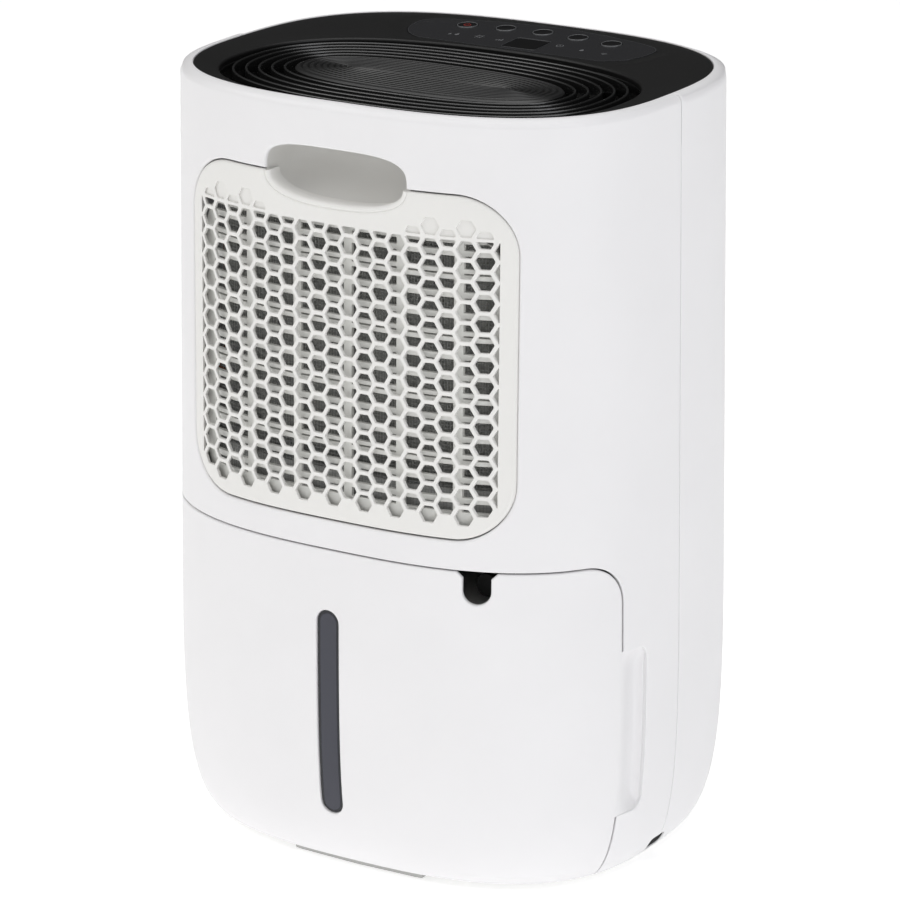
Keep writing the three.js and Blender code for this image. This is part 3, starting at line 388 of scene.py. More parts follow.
class Sheet:
    """A plate laid on a curved surface, with holes, pockets and rounded edges.

    Outlines are closed paths on the surface, the outer one counter-clockwise. Edges are rounded
    by edge, and the plate is as thick as thickness, measured along draw or into the surface.
    """

    ROWS = 4

    def __init__(self, surface, thickness, draw=None):
        self.surface = surface
        self.thickness = thickness
        self.draw = None if draw is None else np.array(draw, float)
        self.points, self.normals = [], []
        self.faces, self.corners = [], []
        self.count = 0

    def add(self, flat, depth, mix=None, outward=None, flip=False):
        """Adds points at a depth. mix turns the normal from the face (1) to the edge (0)."""
        place, normal, along, up = frame_at(self.surface, flat)
        into = -normal if self.draw is None else np.broadcast_to(self.draw, normal.shape)
        self.points.append(place + into * depth)
        if outward is not None:
            side = along * outward[:, :1] + up * outward[:, 1:]
            side -= into * (side * into).sum(1)[:, None]
            normal = unit(mix * normal + sqrt(1 - mix * mix) * unit(side))
        self.normals.append(-normal if flip else normal)
        first = self.count
        self.count += len(flat)
        return first

    def face(self, corners, normals=None):
        self.faces.append(corners)
        self.corners.append(corners if normals is None else normals)

    def wall(self, rim, foot, shade, count):
        """Quads from the rim down to the foot, where shade holds the normals."""
        for i in range(count):
            j = (i + 1) % count
            self.face((rim + j, rim + i, foot + i, foot + j), (rim + j, rim + i, shade + i, shade + j))

    def fill(self, loops, places, depth, grid, under=False):
        """Triangles between loops whose points have been added, and more points among them."""
        faces, extra = filled(loops, grid)
        more = self.add(extra, depth, flip=under) + np.arange(len(extra))
        for face in np.concatenate([*places, more])[faces]:
            self.face(face[::-1] if under else face)

    def build(self, outline, holes=(), pockets=(), edge=0.5, grid=6.0):
        """pockets is a list of (outline, depth); holes and pockets run clockwise inside."""
        runs = [(outline, None)]
        runs += [(hole, None) for hole in holes]
        runs += [(pocket, depth) for pocket, depth in pockets]
        if not isinstance(edge, (list, tuple)):
            edge = [edge] * len(runs)
        inner, fronts, through, backs = [], [], [], []
        for (path, depth), radius in zip(runs, edge):
            shift = left_normals(path)
            count = len(path)
            rows = []
            for row in range(self.ROWS + 1):
                turn = row / self.ROWS * pi / 2
                flat = path + shift * radius * (1 - cos(turn))
                rows.append(self.add(flat, radius * (1 - sin(turn)), sin(turn), -shift))
            inner.append(path + shift * radius)
            fronts.append(rows[-1] + np.arange(count))
            for i in range(count):
                j = (i + 1) % count
                for near, far in zip(rows, rows[1:]):
                    self.face((near + i, near + j, far + j, far + i))
            low = self.thickness if depth is None else depth
            shade = self.add(path, low, 0.0, -shift)
            foot = self.add(path, low, flip=depth is None)
            self.wall(rows[0], foot, shade, count)
            if depth is None:
                through.append(path)
                backs.append(foot + np.arange(count))
            else:
                self.fill([path[::-1]], [foot + np.arange(count)[::-1]], depth, grid)
        self.fill(inner, fronts, 0.0, grid)
        self.fill(through, backs, self.thickness, grid, under=True)
        return self

    def mesh(self, name):
        points = np.concatenate(self.points)
        normals = np.concatenate(self.normals)
        used = np.unique([i for face in self.faces for i in face])
        place = np.full(len(points), -1)
        place[used] = np.arange(len(used))
        mesh = new_mesh(name, points[used], [[place[i] for i in face] for face in self.faces])
        flat = [i for face in self.corners for i in face]
        mesh.normals_split_custom_set(normals[flat].tolist())
        return mesh


class Solids:
    """Collects separate closed bodies that make one piece."""

    def __init__(self, sharp=40.0):
        self.points, self.faces, self.count = [], [], 0
        self.sharp = sharp

    def rings(self, rings, closed=False):
        """Rings of points joined one to the next; the ends get caps, or the last ring meets the first."""
        rings = np.asarray(rings, float)
        levels, count = rings.shape[:2]
        faces = []
        for level in range(levels if closed else levels - 1):
            near, far = level * count, (level + 1) % levels * count
            for i in range(count):
                j = (i + 1) % count
                faces.append((near + i, near + j, far + j, far + i))
        if not closed:
            faces.append(tuple(range(count))[::-1])
            faces.append(tuple((levels - 1) * count + i for i in range(count)))
        self.points.append(rings.reshape(-1, 3))
        self.faces += [[i + self.count for i in face] for face in faces]
        self.count += levels * count
        return self

    def box(self, low, high):
        (x0, y0, z0), (x1, y1, z1) = low, high
        ring = [(x0, y0), (x1, y0), (x1, y1), (x0, y1)]
        return self.rings([[(x, y, z) for x, y in ring] for z in (z0, z1)])

    def mesh(self, name):
        mesh = new_mesh(name, np.concatenate(self.points), self.faces)
        mesh.set_sharp_from_angle(angle=radians(self.sharp))
        return mesh


# ---- Materials ----
def linear(code):
    """A colour written as hex digits, as the shader wants it."""
    values = [int(code[i:i + 2], 16) / 255 for i in (0, 2, 4)]
    return [v / 12.92 if v <= 0.04045 else ((v + 0.055) / 1.055) ** 2.4 for v in values]


def wire(tree, node, values, sources):
    """Sets a node's inputs: values are constants by input, sources are (node, output) by input."""
    for key, value in values.items():
        node.inputs[key].default_value = value
    for key, (source, output) in sources.items():
        tree.links.new(source.outputs[output], node.inputs[key])
    return node


def add_node(tree, kind, values, sources):
    return wire(tree, tree.nodes.new("ShaderNode" + kind), values, sources)


finishes = {}


def moulded(name, code, roughness, grain=1400.0, relief=0.06, mottle=0.03, spread=0.06,
            metallic=0.0, specular=0.5, stretch=(1.0, 1.0, 1.0)):
    """Plastic, metal or rubber: fine grain in bump and roughness, and faint broad mottling."""
    material = bpy.data.materials.new(name)
    material.use_nodes = True
    tree = material.node_tree
    place = add_node(tree, "TexCoord", {}, {})
    scaled = add_node(tree, "Mapping", {"Scale": stretch}, {"Vector": (place, "Object")})
    fine, broad = (add_node(tree, "TexNoise", {"Scale": scale, "Detail": detail},
                            {"Vector": (scaled, "Vector")}) for scale, detail in ((grain, 3), (14, 4)))
    base = linear(code)
    tint = tree.nodes.new("ShaderNodeMix")
    tint.data_type = "RGBA"
    wire(tree, tint, {"A": [c * (1 - mottle) for c in base] + [1.0],
                      "B": [min(c * (1 + mottle), 1.0) for c in base] + [1.0]}, {"Factor": (broad, "Fac")})
    half = add_node(tree, "Math", {1: 0.4}, {0: (broad, "Fac")})
    half.operation = "MULTIPLY"
    mixed = add_node(tree, "Math", {1: 0.6}, {0: (fine, "Fac"), 2: (half, "Value")})
    mixed.operation = "MULTIPLY_ADD"
    worn = add_node(tree, "MapRange", {"To Min": max(roughness - spread, 0.02), "To Max": roughness + spread},
                    {"Value": (mixed, "Value")})
    bump = add_node(tree, "Bump", {"Strength": relief, "Distance": 0.0004}, {"Height": (fine, "Fac")})
    wire(tree, tree.nodes["Principled BSDF"], {"Metallic": metallic, "Specular IOR Level": specular},
         {"Base Color": (tint, "Result"), "Roughness": (worn, "Result"), "Normal": (bump, "Normal")})
    finishes[name] = material
    return material


moulded("shell_white", "e6e5e6", 0.42)
moulded("grille_white", "e3e2df", 0.45)
moulded("trim_black", "111111", 0.42, relief=0.1, mottle=0.08, specular=0.35)
moulded("panel_gloss", "272729", 0.25, relief=0.02, mottle=0.06, specular=0.4)
moulded("display_glass", "0c0c0d", 0.1, relief=0.01, mottle=0.08, specular=0.2)
moulded("level_window", "222328", 0.2, relief=0.02, mottle=0.06, specular=0.35)
moulded("inner_grey", "bdbdbb", 0.5)
moulded("filter_net", "8f908f", 0.7, relief=0.2)
moulded("tank_clear", "cdd4da", 0.25, relief=0.03)
moulded("float_white", "e8e8e6", 0.6, grain=700.0, relief=0.25)
moulded("rubber", "101010", 0.8, grain=900.0, relief=0.3, mottle=0.12, specular=0.2)
moulded("steel", "a5a8ab", 0.32, metallic=1.0, stretch=(1.0, 1.0, 12.0))
moulded("motor_steel", "8d9093", 0.38, metallic=1.0, stretch=(1.0, 8.0, 1.0))
moulded("coil_aluminium", "8a8a88", 0.45, metallic=0.85, stretch=(1.0, 1.0, 0.05))
moulded("enamel", "141414", 0.38, relief=0.2, mottle=0.1)
moulded("copper", "b8693a", 0.34, metallic=1.0, mottle=0.14)
moulded("circuit_board", "1f5a34", 0.45, grain=500.0, relief=0.2, mottle=0.12)
moulded("button_ring", "68696b", 0.3, metallic=0.3)
# a lighter grey for the raised lines round the panel and the display: the beads are real, their lighter
# colour is a painted highlight along the edges
moulded("panel_edge_painted_highlight", "3c3d3f", 0.3, metallic=0.2)
moulded("button_face", "121213", 0.25, relief=0.03, mottle=0.1, specular=0.2)
moulded("print_grey", "68696b", 0.4, mottle=0.08)
moulded("print_red", "842a26", 0.4, mottle=0.08)
# near-white fins: the colour is raised well above the aluminium's own so that the shaded space behind the
# grille looks lit, painted light
moulded("fin_painted_light", "dcdcd8", 0.5, metallic=0.1, stretch=(1.0, 1.0, 0.05))
moulded("outlet_black", "131313", 0.24, relief=0.01, mottle=0.08, specular=1.0)
moulded("window_light", "3b3c45", 0.22, relief=0.02, mottle=0.06, specular=0.35)
moulded("plate_black", "141414", 0.32, relief=0.01, mottle=0.08, specular=0.8)
# a darker grey for the inside of the hand pocket, which is the same white plastic: painted shade in the
# recess
moulded("pocket_painted_shade", "dcdbd8", 0.45)
moulded("lattice_white", "dededa", 0.5)


# ---- Casing shells ----
CORD_Y = (WAIST_Y - 9.0, WAIST_Y + 9.0)
CORD_Z = (6.2, 14.6)
CORD_CORNER = 3.0
SIDES = ((1, "right"), (-1, "left"))


def arc(x, y, radius, start, end):
    """Points of an arc from one angle to another, in degrees."""
    count = max(3, ceil(abs(end - start) / 90 * (5 + radius / 3)))
    return around(x, y, radius, np.radians(np.linspace(start, end, count + 1)))


def joined(*paths):
    """Paths one after the other, without the points that repeat."""
    path = np.concatenate([np.atleast_2d(np.array(p, float)) for p in paths])
    apart = np.linalg.norm(path - np.roll(path, 1, axis=0), axis=1) > 1e-3
    return path[apart]


def on_side(points, side):
    """A path of (y, z, corner radius) points on one side of the casing."""
    return from_side(densified(rounded(points, 0, closed=False), closed=False), side)


def grille_corners(margin):
    """The four corners of the intake grille's outline, counter-clockwise from the lower left."""
    x, low, high = (GRILLE_HALF_WIDTH - GRILLE_CORNER, GRILLE_LOW_Z + GRILLE_CORNER,
                    GRILLE_HIGH_Z - GRILLE_CORNER)
    radius = GRILLE_CORNER + margin
    return (arc(-x, low, radius, 180, 270), arc(x, low, radius, 270, 360),
            arc(x, high, radius, 0, 90), arc(-x, high, radius, 90, 180))


HAND_HALF_HEIGHT = (HAND_HIGH_Z - HAND_LOW_Z) / 2
HAND_Z = HAND_LOW_Z + HAND_HALF_HEIGHT
HAND_UPPER_POWER = 3.5
HAND_LOWER_POWER = 2.55
# where the opening's outline meets the grille's top edge, as an angle below its long axis
LIP_END = asin(((HAND_Z - GRILLE_HIGH_Z) / HAND_HALF_HEIGHT) ** (HAND_LOWER_POWER / 2))


def hand_arch(turn, half, tall):
    """Points of the hand opening's outline: a square-shouldered arch above, a shallower bow below."""
    power = np.where(turn <= pi, HAND_UPPER_POWER, HAND_LOWER_POWER)
    return superellipse(turn, half, tall, power) + [0, HAND_Z]


def hand_run(start, end, count=60):
    """A stretch of the hand opening's outline, from one angle to another, evenly spaced."""
    path = hand_arch(np.linspace(start, end, 900) % (2 * pi), HAND_HALF_WIDTH, HAND_HALF_HEIGHT)
    return evenly(path, count)


def seam_edge(seam, cord_y):
    """A shell's edge at the +X seam, from the foot up, with its half of the cord exit."""
    return [(seam, UNDERSIDE_Z), (seam, CORD_Z[0]), (cord_y, CORD_Z[0], CORD_CORNER),
            (cord_y, CORD_Z[1], CORD_CORNER), (seam, CORD_Z[1]), (seam, RIM_END)]


def rear_shell():
    seam = SEAM_Y - SEAM_GAP / 2
    edge, top = TANK_EDGE_Y + TANK_GAP, TANK_TOP_Z + TANK_GAP
    corner = TANK_CORNER + TANK_GAP
    leg = [(edge, UNDERSIDE_Z), (edge, GRIP_LOW_Z, 1), (GRIP_BACK_Y, GRIP_LOW_Z, 8),
           (GRIP_BACK_Y, GRIP_HIGH_Z, 8), (edge, GRIP_HIGH_Z, 1), (edge, top, corner), (TANK_TOP_Y, top)]
    outline = joined(on_side(seam_edge(seam, CORD_Y[0]), 1),
                     on_side([(seam, RIM_END), (seam, UNDERSIDE_Z)], -1), on_side(leg, -1),
                     on_side(leg[::-1], 1))
    corners = grille_corners(GRILLE_GAP)
    top = GRILLE_HIGH_Z + GRILLE_GAP
    opening = joined(*corners[:3], (HAND_HALF_WIDTH, top), hand_run(0.002, pi - 0.002),
                     (-HAND_HALF_WIDTH, top), corners[3])
    opening = from_rear(densified(opening))[::-1]
    return Sheet(casing, WALL).build(densified(outline), [opening], edge=[0.6, 1.5], grid=5.0)


def front_shell():
    seam = SEAM_Y + SEAM_GAP / 2
    whole = np.interp(2 * pi, ANGLES, ALONG)
    right = on_side(seam_edge(seam, CORD_Y[1])[::-1], 1)
    left = on_side([(seam, UNDERSIDE_Z), (seam, RIM_END)], -1) + [whole, 0]
    outline = densified(joined(right, left))
    return Sheet(casing, WALL).build(outline, edge=0.6)


def inside_wall(section, z, side):
    """A ring of (y, inset) points inside the casing's wall, at one height."""
    ring = [casing_at(inset)(from_side(np.array([[y, z]]), side))[0] for y, inset in section]
    return ring[::side]


def grip_return(side):
    """The wall that turns in from the rear shell's edge behind a finger scoop."""
    back, front = GRIP_BACK_Y, GRIP_BACK_Y + 1.4
    section = ((back, 1.2), (front, 1.2), (front, 8.0), (back, 8.0))
    heights = np.linspace(GRIP_LOW_Z - 2, GRIP_HIGH_Z + 2, 24)
    rings = np.array([inside_wall(section, z, side) for z in heights])
    rings[:, :, 1] = [y for y, _ in section][::side]
    return Solids().rings(rings)


def seam_tongue():
    """The strip inside the seam that keeps the light in, part of the front shell."""
    section = ((SEAM_Y - 3, 0.9), (SEAM_Y + 3, 0.9), (SEAM_Y + 3, 2.2), (SEAM_Y - 3, 2.2))
    heights = np.concatenate([np.arange(14, 200, 12), np.arange(200, WALL_TOP - 4, 24)])
    solids = Solids()
    for side in (1, -1):
        solids.rings([inside_wall(section, z, side) for z in heights])
    return solids


add_piece("front_shell_moulding", front_shell(), "casing", "shell_white", "front_shell")
add_piece("seam_tongue", seam_tongue(), "casing", "shell_white")
add_piece("rear_shell_moulding", rear_shell(), "casing", "shell_white", "rear_shell")
for side, hand in SIDES:
    add_piece(f"grip_return_{hand}", grip_return(side), "casing", "shell_white")


def cord_bushing():
    """The rubber block that fills the cord exit from inside."""
    margin = 2.0
    (y0, y1), (z0, z1) = CORD_Y, CORD_Z
    outline = from_side(densified(rectangle(y0 - margin, y1 + margin, z0 - 0.4, z1 + margin, 2)), 1)
    return Sheet(casing_at(1.2), 6.0).build(outline, edge=0.4, grid=4.0)


add_piece("cord_bushing", cord_bushing(), "casing", "rubber", "cord_gland")


# ---- Intake grille and filter ----
def cell(x, z):
    return around(x, z, CELL_OPENING / sqrt(3), np.radians(np.arange(6) * 60))


def cell_path(points):
    return from_rear(rounded(points.tolist(), 0.8))[::-1]


def honeycomb():
    """The open cells and the blind ones above the field's straight top edge."""
    holes, blind = [], []
    for column in range(-CELL_COLUMNS, CELL_COLUMNS + 1):
        x = column * CELL_COLUMN
        for z in np.arange(CELL_FIRST_Z + column % 2 * CELL_PITCH / 2, FIELD_TOP_Z + 10, CELL_PITCH):
            at_edge = abs(column) == CELL_COLUMNS
            shape = cell(x, z)
            if at_edge:
                shape = clipped(shape, 0, copysign(FIELD_HALF_WIDTH, x), x > 0)
            opened = clipped(shape, 1, FIELD_TOP_Z, True)
            if len(opened) and np.ptp(opened[:, 1]) > CELL_LEAST and not (at_edge and z < CELL_FIRST_Z + 1):
                holes.append(cell_path(opened))
            if BLIND_SPAN[0] < abs(x) < BLIND_SPAN[1]:
                above = clipped(shape, 1, FIELD_TOP_Z + BLIND_GAP, False)
                if len(above) and np.ptp(above[:, 1]) > CELL_LEAST:
                    blind.append((cell_path(above), BLIND_DEPTH))
    return holes, blind


def intake_grille():
    corners = grille_corners(0)
    outline = joined(*corners[:3], hand_run(2 * pi - LIP_END, pi + LIP_END), corners[3])
    outline = from_rear(densified(outline))
    holes, blind = honeycomb()
    edge = [1.8] + [0.4] * len(holes) + [0.35] * len(blind)
    sheet = Sheet(casing, GRILLE_WALL, draw=(0, 1, 0))
    return sheet.build(outline, holes, blind, edge=edge, grid=4.0)


FILTER = (106.0, 227.0, 402.0)        # half width, lowest and highest z
FILTER_INSET = 4.5


def filter_frame():
    half, low, high = FILTER
    border, bar, gap = 5.0, 5.6, 36.4
    posts = [-half + border - bar / 2 + 4, *(7.5 + gap * k for k in (-2, -1, 0, 1, 2)), half - border + 2]
    lines = [low + 2.4 * border]
    for row, z in enumerate(np.arange(CELL_FIRST_Z - 3.4 + CELL_PITCH, high - 6, CELL_PITCH), 1):
        lines += [z - 1.7, z + 1.7] if row % 3 else [z - 3.2, z - 0.5, z + 0.5, z + 3.0]
    lines.append(high - border)
    holes = []
    for x0, x1 in zip(posts, posts[1:]):
        for z0, z1 in zip(lines[::2], lines[1::2]):
            path = rectangle(x0 + bar / 2, x1 - bar / 2, z0, z1, 0.3)
            holes.append(from_rear(densified(path, 6))[::-1])
    outline = from_rear(densified(rectangle(-half, half, low, high, 22)))
    sheet = Sheet(casing_at(FILTER_INSET), 2.4, draw=(0, 1, 0))
    return sheet.build(outline, holes, edge=[0.4] + [0.25] * len(holes), grid=8.0)


STRAND = (0.22, 0.2)            # width and depth


def strand(solids, surface, path, upright):
    """One strand of the filter net, along a path on a surface."""
    place, normal, along, up = frame_at(surface, path)
    side = along if upright else up
    side = unit(side) * STRAND[0] / 2
    deep = normal * STRAND[1]
    rings = np.stack([place - side, place + side, place + side - deep, place - side - deep], 1)
    solids.rings(rings if not upright else rings[:, ::-1])


def filter_net():
    half, low, high = FILTER
    solids = Solids()
    surface = casing_at(FILTER_INSET + 3.5)
    for x in np.arange(-half + 4, half - 3.9, 2.0):
        path = from_rear(np.stack([np.full(2, x), [low + 6, high - 6]], 1))
        strand(solids, surface, path, True)
    for z in np.arange(low + 6, high - 5.9, 2.0):
        x = np.linspace(-half + 4, half - 4, 30)
        strand(solids, surface, from_rear(np.stack([x, np.full(30, z)], 1)), False)
    return solids


add_piece("intake_grille_moulding", intake_grille(), "grille", "grille_white", "intake_grille")
add_piece("filter_lattice", filter_frame(), "grille", "inner_grey", "filter_frame", look="lattice_white")
add_piece("filter_mesh", filter_net(), "grille", "filter_net", "filter_net")


# ---- Evaporator and condenser ----
COIL_HALF_WIDTH = 98.0
COIL_LOW_Z = 212.0
COIL_HIGH_Z = 402.0
COIL_DEPTH = 22.0
EVAPORATOR_Y = -98.0
CONDENSER_Y = -72.0
FIN_PITCH = 2.0
TUBE_PITCH = 24.0
TUBE_RADIUS = 3.4


def finned_coil(back_y):
    """Thin upright fins between two end plates, with the tubes that run through them."""
    solids = Solids()
    low, high = COIL_LOW_Z, COIL_HIGH_Z
    for x in np.arange(-COIL_HALF_WIDTH + 3, COIL_HALF_WIDTH - 2.9, FIN_PITCH):
        solids.box((x - 0.1, back_y, low), (x + 0.1, back_y + COIL_DEPTH, high))
    for x in (-COIL_HALF_WIDTH, COIL_HALF_WIDTH - 1.2):
        solids.box((x, back_y + 0.4, low), (x + 1.2, back_y + COIL_DEPTH, high))
    middle = back_y + COIL_DEPTH / 2
    for z in np.arange(low + 12, high - 8, TUBE_PITCH):
        tube = around(middle, z, TUBE_RADIUS, np.radians(np.arange(10) * 36))
        solids.rings([[(x, *point) for point in tube] for x in (-COIL_HALF_WIDTH - 2, COIL_HALF_WIDTH + 1)])
    return solids


# the fins take a near-white colour that paints light into the shaded space behind the grille
for coil_name, coil_y in (("evaporator_coil", EVAPORATOR_Y), ("condenser_coil", CONDENSER_Y)):
    add_piece(coil_name.replace("coil", "fins"), finned_coil(coil_y), "casing", "coil_aluminium", coil_name,
              look="fin_painted_light")


# ---- Hand pocket ----
def hand_pocket():
    """The scoop behind the hand opening: rings that start behind the wall and close at the back."""
    depth_all, margin, count, rise = 34.0, 0.9, 96, 0.75 * HAND_HALF_HEIGHT
    turn = np.arange(count) * 2 * pi / count
    rings = []
    for share in np.sin(np.linspace(0, pi / 2, 26)):
        wide = max((1 - share ** 2.8) ** (1 / 2.8), 0.04)
        tall = max((1 - share ** 2.1) ** (1 / 2.1), 0.04)
        flat = hand_arch(turn, (HAND_HALF_WIDTH + margin) * wide, (HAND_HALF_HEIGHT + margin) * tall)
        flat[:, 1] += rise * (1 - tall)
        wall = casing(from_rear(flat))[:, 1] + WALL + 1.1
        rings.append(np.stack([flat[:, 0], wall + depth_all * share, flat[:, 1]], 1))
    inner = np.array(rings)
    middle = [0, 0, HAND_Z]
    outer = middle + (inner[::-1] - middle) * [1.03, 1, 1.08] + [0, 1.2, 0]
    return Solids(sharp=60).rings(np.concatenate([outer, inner])[:, ::-1])


# the lip's section, as (inwards, depth) points
LIP = ((-0.9, 2.0), (-0.5, 0.7), (0.1, 0.15), (0.9, 0.0), (1.7, 0.3), (2.3, 1.0), (2.7, 2.0), (2.8, 4.0),
       (2.4, 12.0), (1.0, 12.0))


def grille_lip():
    """The rounded rim along the top of the grille that the fingers pull."""
    reach = LIP_END + 0.02
    path = hand_run(pi + reach, 2 * pi - reach, 90)
    ahead = np.gradient(path, axis=0)
    side = unit(np.stack([-ahead[:, 1], ahead[:, 0]], 1))
    rings = []
    for place, inwards in zip(path, side):
        flat = place + np.array([s * inwards for s, _ in LIP])
        ring = casing(from_rear(flat))
        ring[:, 1] += [depth for _, depth in LIP]
        rings.append(ring[::-1])
    return Solids().rings(rings)


add_piece("grille_pull_lip", grille_lip(), "grille", "grille_white")
# the scoop behind the hand opening is drawn darker than the shell: painted shade inside the recess
add_piece("hand_scoop", hand_pocket(), "casing", "shell_white", "hand_pocket", look="pocket_painted_shade")


# ---- Tank ----
def window_outline(margin):
    """The level window's outline, moved in by margin."""
    half = WINDOW_WIDTH / 2 - margin
    outline = joined(arc(WINDOW_X, WINDOW_HIGH_Z - margin - half, half, 0, 180),
                     arc(WINDOW_X, WINDOW_LOW_Z + margin + half, half, 180, 360))
    return from_rear(densified(outline))


def tank_front():
    side = [(TANK_EDGE_Y, UNDERSIDE_Z), (TANK_EDGE_Y, TANK_TOP_Z, TANK_CORNER), (TANK_TOP_Y, TANK_TOP_Z)]
    half, flare = NOTCH_WIDTH / 2, 3.5
    notch = joined([(NOTCH_X + half + flare, TANK_TOP_Z), (NOTCH_X + half, TANK_TOP_Z - flare)],
                   arc(NOTCH_X, NOTCH_LOW_Z + half, half, 0, -180),
                   [(NOTCH_X - half, TANK_TOP_Z - flare), (NOTCH_X - half - flare, TANK_TOP_Z)])
    outline = joined(on_side(side, 1), from_rear(densified(notch, closed=False)),
                     on_side(side[::-1], -1))
    window = window_outline(-0.3)[::-1]
    return Sheet(casing, WALL).build(densified(outline), [window], edge=[1.1, 0.8], grid=5.0)


GRIP_TAIL = -0.2            # the scoop stops just short of the rear shell's edge
GRIP_VISIBLE_DEPTH = 6.2


def grip_surface(side):
    start, end = TANK_EDGE_Y - 3.0, GRIP_BACK_Y + GRIP_TAIL

    def surface(points):
        y, z = side * points[:, 0], points[:, 1]
        share = np.clip((y - start) / (end - start), 0, 1)
        low = np.clip((z - GRIP_LOW_Z) / 14, 0, 1)
        high = np.clip((GRIP_HIGH_Z - z) / 14, 0, 1)
        ends = np.sin(low * pi / 2) * np.sin(high * pi / 2)
        fall = np.clip(share / 0.82, 0, 1)
        back = np.clip((share - 0.84) / 0.16, 0, 1)
        scoop = fall * fall * (3 - 2 * fall) - 0.8 * (1 - np.sqrt(1 - back ** 2))
        inset = 0.3 + GRIP_VISIBLE_DEPTH * scoop * (0.12 + 0.88 * ends)
        reach = (WAIST_Y - y) / rear_depth(z)
        x = half_width(z) * (1 - reach ** REAR_POWER) ** (1 / REAR_POWER)
        return np.stack([side * (x - inset), y, z], 1)
    return surface


def tank_grip(side):
    ends = sorted((side * (TANK_EDGE_Y - 2.6), side * (GRIP_BACK_Y + GRIP_TAIL)))
    outline = rectangle(*ends, GRIP_LOW_Z - 0.6, GRIP_HIGH_Z + 0.6, 3.0)
    return Sheet(grip_surface(side), 2.0).build(densified(outline, 1.5), edge=0.3, grid=1.4)


def level_window(margin, inset):
    """The window's pane, or the lighter band down its middle, that far inside its outline."""
    return Sheet(casing_at(inset), 2.4).build(window_outline(margin), edge=0.35, grid=3.0)


add_piece("tank_front_moulding", tank_front(), "tank", "shell_white", "tank_front")
for side, hand in SIDES:
    add_piece(f"tank_grip_{hand}", tank_grip(side), "tank", "shell_white")
add_piece("level_window_pane", level_window(0, 1.4), "tank", "level_window", "level_window")
add_piece("level_window_band", level_window(1.7, 1.15), "tank", "level_window", look="window_light")


# ---- Top cover ----
def track(size, count=200):
    """The outlet's outline: a superellipse of that half length and half width."""
    turn = np.arange(count) * 2 * pi / count
    return superellipse(turn, *size, TRACK_POWER) + [0, TRACK_Y]


def panel_plane(y):
    return OUTLET_TOP_Z + 0.2 + (y - PANEL_NEAR_Y) * PANEL_SLOPE


def curve(start, pull, end, count=12):
    share = np.linspace(0, 1, count + 1)[:, None]
    start, pull, end = (np.array(p, float) for p in (start, pull, end))
    return start * (1 - share) ** 2 + pull * 2 * share * (1 - share) + end * share ** 2


def panel_outline(margin):
    half = PANEL_HALF_WIDTH + margin
    near, far, shoulder = PANEL_NEAR_Y + 2 - margin, PANEL_FAR_Y + margin, 94.0
    right = joined(curve((half - 20, near), (half + 1, near + 8), (half, shoulder)),
                   curve((half, shoulder), (half - 2, shoulder + 9), (half - 22, shoulder + 13)))
    left = right[::-1] * [-1, 1]
    bow = curve((half - 22, shoulder + 13), (0, far + 9), (-half + 22, shoulder + 13), 30)
    return evened(joined(right, bow, left), 2.5)


def distance_to(points, loop):
    """How far each point is from a closed path, negative inside."""
    start, end = loop, np.roll(loop, -1, axis=0)
    along = end - start
    length = (along ** 2).sum(1)
    best = np.full(len(points), 1e9)
    for low in range(0, len(points), 2000):
        part = points[low:low + 2000, None]
        share = np.clip(((part - start) * along).sum(2) / length, 0, 1)
        gap = np.linalg.norm(part - start - along * share[..., None], axis=2)
        best[low:low + 2000] = gap.min(1)
    return np.where(inside(points, [loop]), -best, best)


RIM_SINK = 0.5


def dish(points):
    """The cover's top: it falls from the rim to the outlet and lies flat around the panel."""
    x, y = points[:, 0], points[:, 1]
    mouth = (np.abs(x / OUTLET[0]) ** TRACK_POWER + np.abs((y - TRACK_Y) / OUTLET[1]) ** TRACK_POWER)
    mouth = mouth ** (1 / TRACK_POWER)
    angle = np.arctan2(x, WAIST_Y - y)
    rim_x, rim_y = plan_ring(angle, RIM_HALF_WIDTH - COVER_INSET, RIM_REAR_DEPTH - COVER_INSET)
    rim = np.hypot(x, y - WAIST_Y) / np.hypot(rim_x, rim_y - WAIST_Y)
    out, left = np.maximum(mouth - 1, 0), np.maximum(1 - rim, 0)
    share = np.clip(out / np.maximum(out + left, 1e-6), 0, 1)
    z = OUTLET_TOP_Z + (HEIGHT - RIM_SINK - OUTLET_TOP_Z) * share
    level = np.clip(1 - np.maximum(distance_to(points, PANEL_LOOP) - 2, 0) / 10, 0, 1)
    level = level * level * (3 - 2 * level)
    return np.stack([x, y, z * (1 - level) + panel_plane(y) * level], 1)


PANEL_LOOP = panel_outline(0.5)


def rim_path(inset, step=3.0):
    turn = np.linspace(-pi, pi, 1600, endpoint=False)
    x, y = plan_ring(turn, RIM_HALF_WIDTH - inset, RIM_REAR_DEPTH - inset)
    return evened(np.stack([x, y], 1), step)


def top_cover():
    mouth = evened(track(OUTLET, 1600), 2.5)[::-1]
    return Sheet(dish, 3.6).build(rim_path(COVER_INSET), [mouth], [(PANEL_LOOP[::-1], 1.5)],
                                  edge=[0.5, 1.4, 0.25], grid=5.0)


def panel_surface(points):
    return np.column_stack([points, panel_plane(points[:, 1]) + 0.05])


def button_places():
    across = [(i - 2) * BUTTON_PITCH for i in range(5)]
    return [(x, BUTTON_ROW_Y - BUTTON_ROW_BOW * x ** 2) for x in across]


def display_frame(margin, radius, step=2.5):
    """The display's outline, moved out by margin."""
    x, y, width, depth = DISPLAY
    return densified(rectangle(x - width / 2 - margin, x + width / 2 + margin, y - depth / 2 - margin,
                               y + depth / 2 + margin, radius), step)


